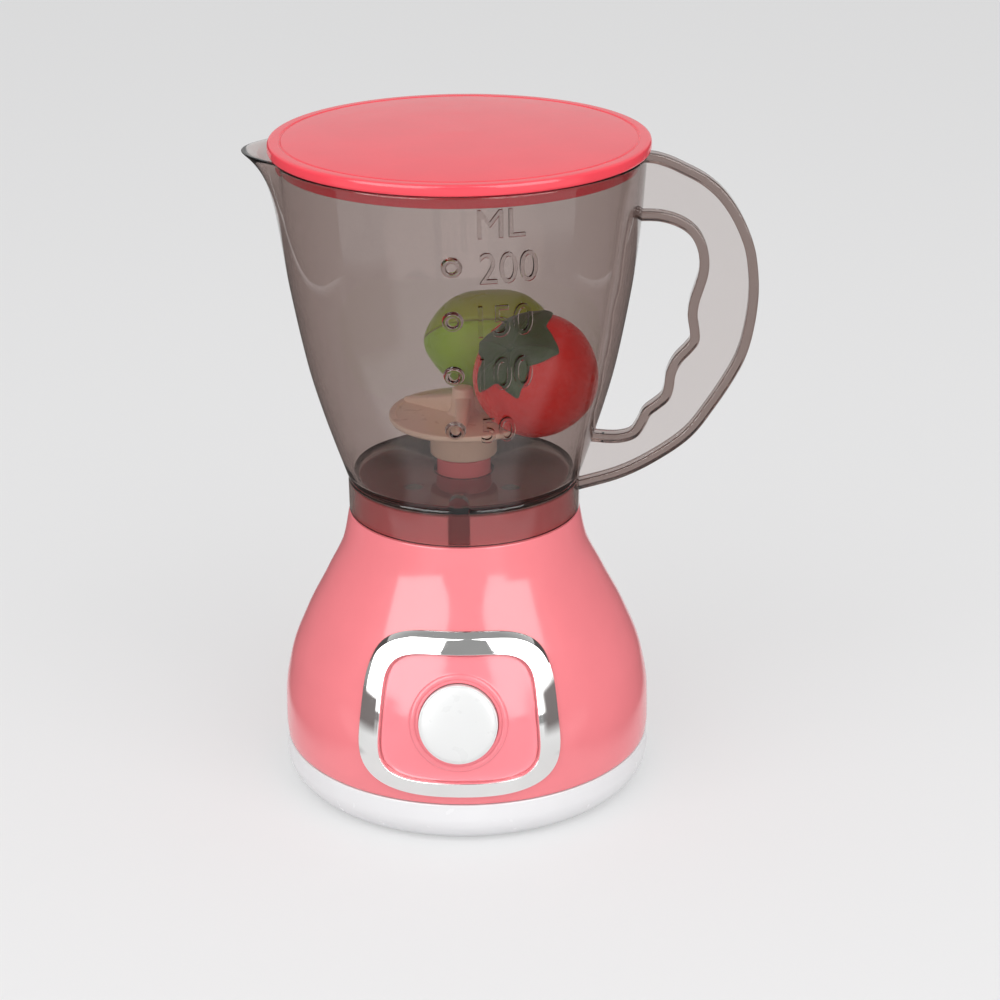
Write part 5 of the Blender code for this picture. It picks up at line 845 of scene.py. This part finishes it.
outer, inner = rail_path(RAIL_OUT, 150), rail_path(RAIL_IN, 150)
middle = outer + (inner - outer) * np.linspace(0, 1, 9)[:, None, None]
middle = np.stack((middle[..., 0], 0 * middle[..., 0], middle[..., 1]), -1)
loop = np.concatenate((middle - (0, WEB_THICK / 2, 0), middle[::-1] + (0, WEB_THICK / 2, 0)))
web = surface("web", capped(loop.swapaxes(0, 1)))
levels, inset = np.linspace(JAR_FLOOR, JAR_RIM, 60), 0.9
core = np.vstack(((0, JAR_BOTTOM - 5), (SHOULDER - inset, JAR_BOTTOM - 5),
                  np.column_stack((jar_radius(levels) - inset, levels)),
                  (JAR_MOUTH - inset, JAR_RIM + 5), (0, JAR_RIM + 5)))
handle = fuse(rail("handle", outer), rail("finger_rail", inner), web)
fuse(handle, surface("core", turned(core, 192)), operation="DIFFERENCE")
print("handle", len(handle.data.polygons), "faces")

# %% [markdown]
# ## Dots, numbers and key
# Four round dots and their numbers stand out of the front wall, and a round-topped key runs down the collar. They are
# the same dyed plastic, so they are joined into the wall: two clear solids that only touch would show a false face
# between them. The numbers are plain text made into a mesh, then bent onto the cone.

# %% Dots, numbers and key
DOT_SHARES = (0.283, 0.463, 0.634, 0.797)
DOT_PROFILE = rounded([(0, 0.28), (1.30, 0.22), (1.52, 1.02), (2.28, 1.06), (2.70, 0.0), (2.70, -0.8), (0, -0.8)],
                      [0, 0.3, 0.3, 0.35, 0.1, 0, 0], steps=5)


def wall_matrix(x, z):
    """A frame on the jar's front wall: its x runs across, its y up the wall, its z out of it."""
    spot, out = on_turned(jar_radius, np.array([x, x]), np.array([z, z]), np.array([0, 1.0]))
    outward = Vector(out - spot).normalized()
    across = Vector((0, 0, 1)).cross(outward).normalized()
    return frame_of(across, outward.cross(across), outward, spot)


dots = [surface("dot", moved(turned(DOT_PROFILE, 40), wall_matrix(0.0, JAR_FLOOR + CONE * share)))
        for share in DOT_SHARES]

LABELS = (("ML", 6.4, 17.9, 166.4, 173.6), ("200", 6.8, 20.8, 154.5, 162.6), ("150", 6.3, 19.5, 140.2, 148.7),
          ("100", 6.5, 19.3, 125.3, 134.3), ("50", 6.5, 14.9, 110.0, 117.1))
LABEL_PROUD, LABEL_DEEP = 0.7, -0.7


def raised_label(text, left, right, low, high):
    """Text made into a mesh, stretched to a box of x and z, and bent onto the cone: height becomes the offset."""
    curve = bpy.data.curves.new("label", "FONT")
    curve.body = text
    curve.extrude = 0.5
    curve.resolution_u = 4
    holder = new_object("label", curve)
    bpy.context.view_layer.update()
    mesh = bpy.data.meshes.new_from_object(holder)
    bpy.data.objects.remove(holder, do_unlink=True)
    points = np.zeros(len(mesh.vertices) * 3)
    mesh.vertices.foreach_get("co", points)
    points = points.reshape(-1, 3)
    flat = (points - points.min(0)) / np.ptp(points, axis=0)
    x, z = left + (right - left) * flat[:, 0], low + (high - low) * flat[:, 1]
    bent = on_turned(jar_radius, x, z, np.where(flat[:, 2] > 0.5, LABEL_PROUD, LABEL_DEEP))
    mesh.vertices.foreach_set("co", (bent * MM).reshape(-1))
    return clean(new_object("label", mesh))


labels = [raised_label(*row) for row in LABELS]

KEY_HALF = 2.6
crest = JAR_FLOOR + 3.5 - KEY_HALF
a = np.linspace(0, math.pi, 17)
arch = np.vstack(((-KEY_HALF, JAR_BOTTOM + GAP), (KEY_HALF, JAR_BOTTOM + GAP),
                  np.column_stack((KEY_HALF * np.cos(a), crest + KEY_HALF * np.sin(a)))))
key = stand(prism("key", arch, -(SHOULDER + 0.4), -(COLLAR_INNER - 1.6)))
fuse(jar, handle, key, *dots)
fuse(jar, *labels)
settle(jar, "jar", "jar", smoke, "jar")

# %% [markdown]
# ## The lid
# A red disc with a rolled rim, a fine groove and a low crown, and a plug that drops into the jar's mouth. One turned
# profile makes all of it. Its corners are eased, since the bright line on the rim is what shows the lid's edge.

# %% Lid
LID_LOW, LID_HIGH, LID_R = 177.1, 180.1, 49.7
GROOVE, PLUG, PLUG_WALL, PLUG_LOW = LID_R - 3.2, 46.4, 1.8, LID_LOW - 3.6
CROWN, CROWN_SHARES = 1.3, ((0.0, 1.0), (0.5, 0.75), (0.8, 0.36), (1.0, 0.0))
profile = rounded([(0, LID_HIGH - 1.6), (PLUG - PLUG_WALL, LID_HIGH - 1.6), (PLUG - PLUG_WALL, PLUG_LOW),
                   (PLUG, PLUG_LOW), (PLUG, LID_LOW), (LID_R, LID_LOW), (LID_R, LID_HIGH),
                   (GROOVE + 0.4, LID_HIGH + 0.02), (GROOVE, LID_HIGH - 0.4), (GROOVE - 0.5, LID_HIGH),
                   (GROOVE * 0.8, LID_HIGH + 0.47)], [0, 0.8, 0.4, 0.4, 0.2, 0.9, 1.0, 0.4, 0.25, 0.4, 0])
reach = np.linspace(0.8, 0, 30)[1:]
crown = np.column_stack((GROOVE * reach, LID_HIGH + CROWN * smooth_curve(CROWN_SHARES, reach)))
lid = surface("lid_disc", turned(np.vstack((profile, crown)), 256), sharp=40)
settle(lid, "lid", "lid", lid_red, "lid")

# %% [markdown]
# ## The turntable
# A cream disc on a hub that fits the drive's hexagonal tip, with a post and three fins that push the food round. The
# disc is turned, and each fin is a wedge that gets lower and thinner towards the rim.

# %% Turntable
HUB_LOW, DISC_TOP, DISC_R, POST_R, POST_H = 93.5, 105.0, 20.0, 3.4, 7.2
profile = rounded([(0, HUB_LOW), (9, HUB_LOW), (9, DISC_TOP - 3.8), (10, DISC_TOP - 2.8),
                   (DISC_R - 0.5, DISC_TOP - 1.8), (DISC_R, DISC_TOP - 1.2), (DISC_R, DISC_TOP),
                   (DISC_R - 1.6, DISC_TOP - 0.02), (DISC_R - 2.0, DISC_TOP - 0.35), (POST_R * 1.25, DISC_TOP - 0.35),
                   (POST_R, DISC_TOP + 1), (POST_R * 0.8, DISC_TOP + POST_H - 0.4), (0, DISC_TOP + POST_H)],
                  [0, 0.5, 0.5, 1.0, 0.6, 0.6, 0.5, 0.2, 0.2, 0.8, 1.0, 0.8, 0])
disc = surface("turntable_disc", turned(profile, 160))
fin_reach = np.linspace(0.8, DISC_R * 0.93, 24)[:, None]
inward = 1 - (fin_reach - fin_reach[0]) / np.ptp(fin_reach)
fin_top = DISC_TOP + 0.9 + (POST_H - 2.9) * inward ** 1.1
a = np.linspace(0, math.pi, 9)
across = np.concatenate(([1], np.cos(a), [-1])) * (0.9 + 1.3 * inward)
z = fin_top + np.concatenate(([0], np.sin(a) - 1, [0])) * 0.7
z[:, [0, -1]] = DISC_TOP - 0.9
fin = capped(np.stack((fin_reach + 0 * z, across, z), -1))
fins = [surface("fin", moved(fin, Matrix.Rotation(math.radians(turn), 4, "Z"))) for turn in (-90, 30, 150)]
fuse(disc, *fins)
fuse(disc, *rods("socket", 2.95, HUB_LOW - 2, 100.5, columns=6), operation="DIFFERENCE")
settle(disc, "turntable", "agitator", cream, "agitator")

# %% [markdown]
# ## The play food
# The tomato is a squat ball with five soft lobes and a dimple at its stalk, the lime an egg drawn out to a small nub
# at each end. Both are hollow mouldings in reality; only their skins show. Each is a grid over height and turn, and
# the points that would reach through the turntable are laid flat on it.

# %% Food surfaces
FOOD_FLOOR, FOOD_EDGE = 105.3, 21.4


def axis_frame(axis, centre):
    """A frame whose z runs along an axis."""
    matrix = Vector(axis).normalized().to_track_quat("Z", "Y").to_matrix().to_4x4()
    matrix.translation = centre
    return matrix


def food(name, radius, height, matrix):
    """A skin from radius and height grids, placed, laid on the turntable, and let sag past the turntable's edge."""
    turn = circle(radius.shape[1])
    grid = moved(np.stack((radius * np.cos(turn), radius * np.sin(turn), height), -1), matrix)
    past = np.maximum(0, np.hypot(grid[..., 0], grid[..., 1]) - FOOD_EDGE)
    grid[..., 2] = np.maximum(grid[..., 2], FOOD_FLOOR - 2 * past)
    return surface(name, grid, sharp=80)


TOMATO_R, TOMATO_SQUASH = 16.5, 0.96
tomato_matrix = axis_frame((-0.44, -0.57, 0.70), (19.6, -8.9, 118.4))


def tomato_skin(rise, turn):
    """Radius and height: a squashed ball, dimpled round the stalk, its girth swelling five times round."""
    dimple = 0.16 * np.maximum(0, np.sin(rise)) ** 12
    height = TOMATO_R * TOMATO_SQUASH * np.sin(rise) * (1 - dimple)
    swell = 1 + 0.018 * np.cos(5 * turn) * (1 + height / TOMATO_R) / 2
    return TOMATO_R * np.cos(rise) * swell, height


rise, turn = np.meshgrid(np.linspace(-math.pi / 2, math.pi / 2, 90), circle(144), indexing="ij")
tomato = food("tomato", *tomato_skin(rise, turn), tomato_matrix)

LIME_R, LIME_HALF, LIME_JOINT = 13.6, 18.8, 0.045
LIME_SHARES = ((0.00, 0.00), (0.02, 0.15), (0.07, 0.30), (0.14, 0.45), (0.28, 0.68), (0.50, 0.89), (0.75, 0.985),
               (1.00, 1.00))
lime_matrix = axis_frame((-1.0, 0.06, -0.06), (7.0, 20.0, 118.7))
facing = lime_matrix.to_3x3().inverted() @ Vector((0, -0.745, 0.667))
along = np.sin(np.linspace(-math.pi / 2, math.pi / 2, 120))[:, None]
off_seam = np.abs(np.sin(circle(288) - math.atan2(facing.y, facing.x)))
groove = 1 - LIME_JOINT * np.exp(-(off_seam / LIME_JOINT) ** 2)
lime_r = LIME_R * smooth_curve(LIME_SHARES, 1 - np.abs(along)) * groove
lime = food("lime", lime_r, LIME_HALF * along + 0 * lime_r, lime_matrix)
print("tomato", len(tomato.data.polygons), "faces, lime", len(lime.data.polygons), "faces")

# %% [markdown]
# The lime's two halves were moulded apart, and the joint between them is dark. The upper half is made a shade browner,
# which is painted shade: the shade of the lid over the top of the fruit. The calyx is a thin leafy star that lies on
# the tomato. The reach of its rim is a smooth curve through the tips and the valleys of its lobes, which are all of
# different length, and its two layers follow the tomato's skin a little above it, so it hugs the dimple. A ridge runs
# along the middle of each lobe and falls to both sides, as on a leaf.

# %% Calyx
CALYX_COLUMNS = 360
LEAF_RIM = ((-22, 28.5), (8, 42.5), (16, 47.5), (38, 42), (57, 39.5), (79, 58), (87, 66), (95, 60), (112, 53),
            (130, 40), (150, 33), (172, 45), (179, 50), (186, 45.5), (211, 31.5), (234, 49), (241, 54.5), (248, 49.5),
            (273, 35), (292, 45), (299, 50), (306, 44.5), (338, 28.5))
LEAF_VEINS = (16, 87, 179, 241, 299)


def calyx_reach(turn):
    """The rim's reach in degrees from the stalk, and the nearness to a vein: 1 on it, 0 at 30 degrees off it."""
    around = (np.degrees(turn) + 22) % 360 - 22
    off = np.abs(np.angle(np.exp(1j * (turn[:, None] - np.radians(LEAF_VEINS)))))
    return smooth_curve(LEAF_RIM, around), np.clip(1 - off / math.radians(30), 0, 1).max(1)


def calyx_layer(shares, lift, ridge):
    """Places on the tomato's skin at shares of the rim's reach, lifted away from the fruit's middle."""
    turn = circle(CALYX_COLUMNS)
    reach, near = calyx_reach(turn)
    off = shares[:, None] * np.radians(reach)
    r, h = tomato_skin(math.pi / 2 - off, turn + 0 * off)
    ball = np.stack((r * np.cos(turn), r * np.sin(turn), h), -1)
    out = ball / np.linalg.norm(ball, axis=-1, keepdims=True)
    crest = ridge * np.exp(-((1 - near) / 0.13) ** 2) * np.sin(math.pi * shares[:, None]) ** 0.7
    wave = 0.10 * np.sin(9 * turn + 14 * shares[:, None]) * shares[:, None]
    return ball + out * (lift[:, None] + crest + wave)[..., None]


shares = np.linspace(0, 1, 36)
upper = calyx_layer(shares, 0.62 * (1 - shares ** 8) + 0.35, 0.42)
lower = calyx_layer(shares[::-1], 0.12 + 0 * shares, 0)
calyx = surface("calyx", moved(np.concatenate((upper, lower)), tomato_matrix), sharp=50)
stalk = rounded([(0, 1.7), (0.85, 1.6), (1.0, 0.5), (1.8, 0.1), (1.6, -1), (0, -1)], [0, 0.4, 0.5, 0.3, 0, 0])
top_of_fruit = tomato_matrix @ Matrix.Translation((0, 0, TOMATO_R * TOMATO_SQUASH * 0.84 + 0.3))
fuse(calyx, surface("stalk", moved(turned(stalk, 48), top_of_fruit)))

tomato_red = plastic("tomato_plastic", (0.95, 0.012, 0.006), 0.86, (0.22, 0.34), 0.00002, 180, level=0.25)
leaf_green = plastic("leaf_plastic", (0.060, 0.125, 0.040), 0.72, (0.34, 0.5), 0.00002, 300, level=0.25)
lime_green = plastic("lime_plastic", (0.38, 0.74, 0.03), 0.86, (0.24, 0.36), 0.00006, 900, level=0.25)


def painted_shade_half_and_joint(material, matrix, across, painted_shade_tint, joint):
    """Beyond a plane the colour is multiplied by a browner colour, painted shade on that half, and by a darker one
    along the joint itself.
    """
    tree = material.node_tree
    base = tree.nodes["Principled BSDF"].inputs["Base Color"]
    normal = (matrix.to_3x3() @ across).normalized()
    level = matrix.translation.dot(normal)
    height = add_node(tree, "ShaderNodeVectorMath", operation="DOT_PRODUCT")
    height.inputs[1].default_value = normal
    tree.links.new(add_node(tree, "ShaderNodeTexCoord").outputs["Object"], height.inputs[0])
    stops = add_node(tree, "ShaderNodeValToRGB")
    ramp_between(tree, height.outputs["Value"], 0, 1, stops.inputs[0], ((level - 2) * MM, (level + 2) * MM))
    for place, shade in ((0.42, (1, 1, 1)), (0.48, joint), (0.54, joint), (0.62, painted_shade_tint)):
        stops.color_ramp.elements.new(place).color = (*shade, 1)
    stops.color_ramp.elements[0].color = (1, 1, 1, 1)
    stops.color_ramp.elements[-1].color = (*painted_shade_tint, 1)
    both = add_node(tree, "ShaderNodeVectorMath", base.links[0].from_socket, stops.outputs[0], operation="MULTIPLY")
    tree.links.new(both.outputs[0], base)


# Painted shade: the half of the lime above the joint is made browner, as if shaded; the joint itself is darker.
painted_shade_half_and_joint(lime_green, lime_matrix, Vector((-facing.y, facing.x, 0)), (1.0, 0.76, 0.9), (0.62, 0.40, 0.5))
settle(tomato, "turntable", "play_tomato", tomato_red, "play_tomato")
settle(calyx, "turntable", "play_tomato", leaf_green)
settle(lime, "turntable", "play_lime", lime_green, "play_lime")

# %% [markdown]
# ## Lights and the parts inside
# The two lights are clear domes. The other parts inside keep the shapes of the model, since gears, screws and springs
# are right as they are, and take a finish each: zinc, brass, nylon, black plastic, a green board, a printed sleeve.

# %% Lights
LIGHT_R, LIGHT_SKIRT, LIGHT_LOW, LIGHT_HIGH = 2.5, 3.2, 82.7, 85.4
clear = plastic("clear_light", (0.93, 0.95, 0.96), 0.98, (0.05, 0.12), 0.000004, 400)
set_sockets(clear.node_tree.nodes["Principled BSDF"], Transmission_Weight=0.75)
lens_turn = np.linspace(0, math.pi / 2, 10)
skirt = rounded([(0, LIGHT_LOW), (LIGHT_SKIRT, LIGHT_LOW), (LIGHT_SKIRT, LIGHT_LOW + 1), (LIGHT_R, LIGHT_LOW + 1),
                 (LIGHT_R, LIGHT_HIGH)], [0, 0.2, 0.2, 0, 0])
dome = np.column_stack((LIGHT_R * np.cos(lens_turn), LIGHT_HIGH + 0.9 * np.sin(lens_turn)))
for name, place in zip(("light_left", "light_right"), LIGHT_PLACES):
    bulb = surface(name + "_dome", moved(turned(np.vstack((skirt, dome[1:])), 40), Matrix.Translation((*place, 0))))
    settle(bulb, "base", name, clear, name)

# %% Finishes of the parts inside
board = start_finish("circuit_board", ((0.02, 0.16, 0.06), (0.05, 0.26, 0.10)), (0.25, 0.45), (700, 2.0),
                     (1500, 3.0), (0.47, 0.53))[0]
sleeve = start_finish("cell_sleeve", ((0.05, 0.06, 0.08), (0.08, 0.09, 0.12)), (0.16, 0.30), (60, 2.0),
                      (400, 3.0))[0]

kept = {
    zinc: "base_screw_1 base_screw_2 base_screw_3 base_screw_4 battery_spring_1 battery_spring_2 board_screw_1 "
          "board_screw_2 button_spring contact_bridge contact_minus contact_plus door_screw drive_shaft "
          "gearbox_screw_1 gearbox_screw_2 gearbox_screw_3 idler_axle motor_can motor_shaft",
    brass: "motor_pinion shaft_bush",
    nylon: "gearbox_cover gearbox_tray idler_gear output_gear",
    black_plastic: "motor_end_cap switch_body switch_stem",
    pan_white: "battery_door",
    board: "circuit_board",
    sleeve: "battery_cell_1 battery_cell_2",
}
for finish, nodes in kept.items():
    for node in nodes.split():
        bpy.data.objects[node].material_slots[0].material = finish
print("kept nodes", sum(len(nodes.split()) for nodes in kept.values()))
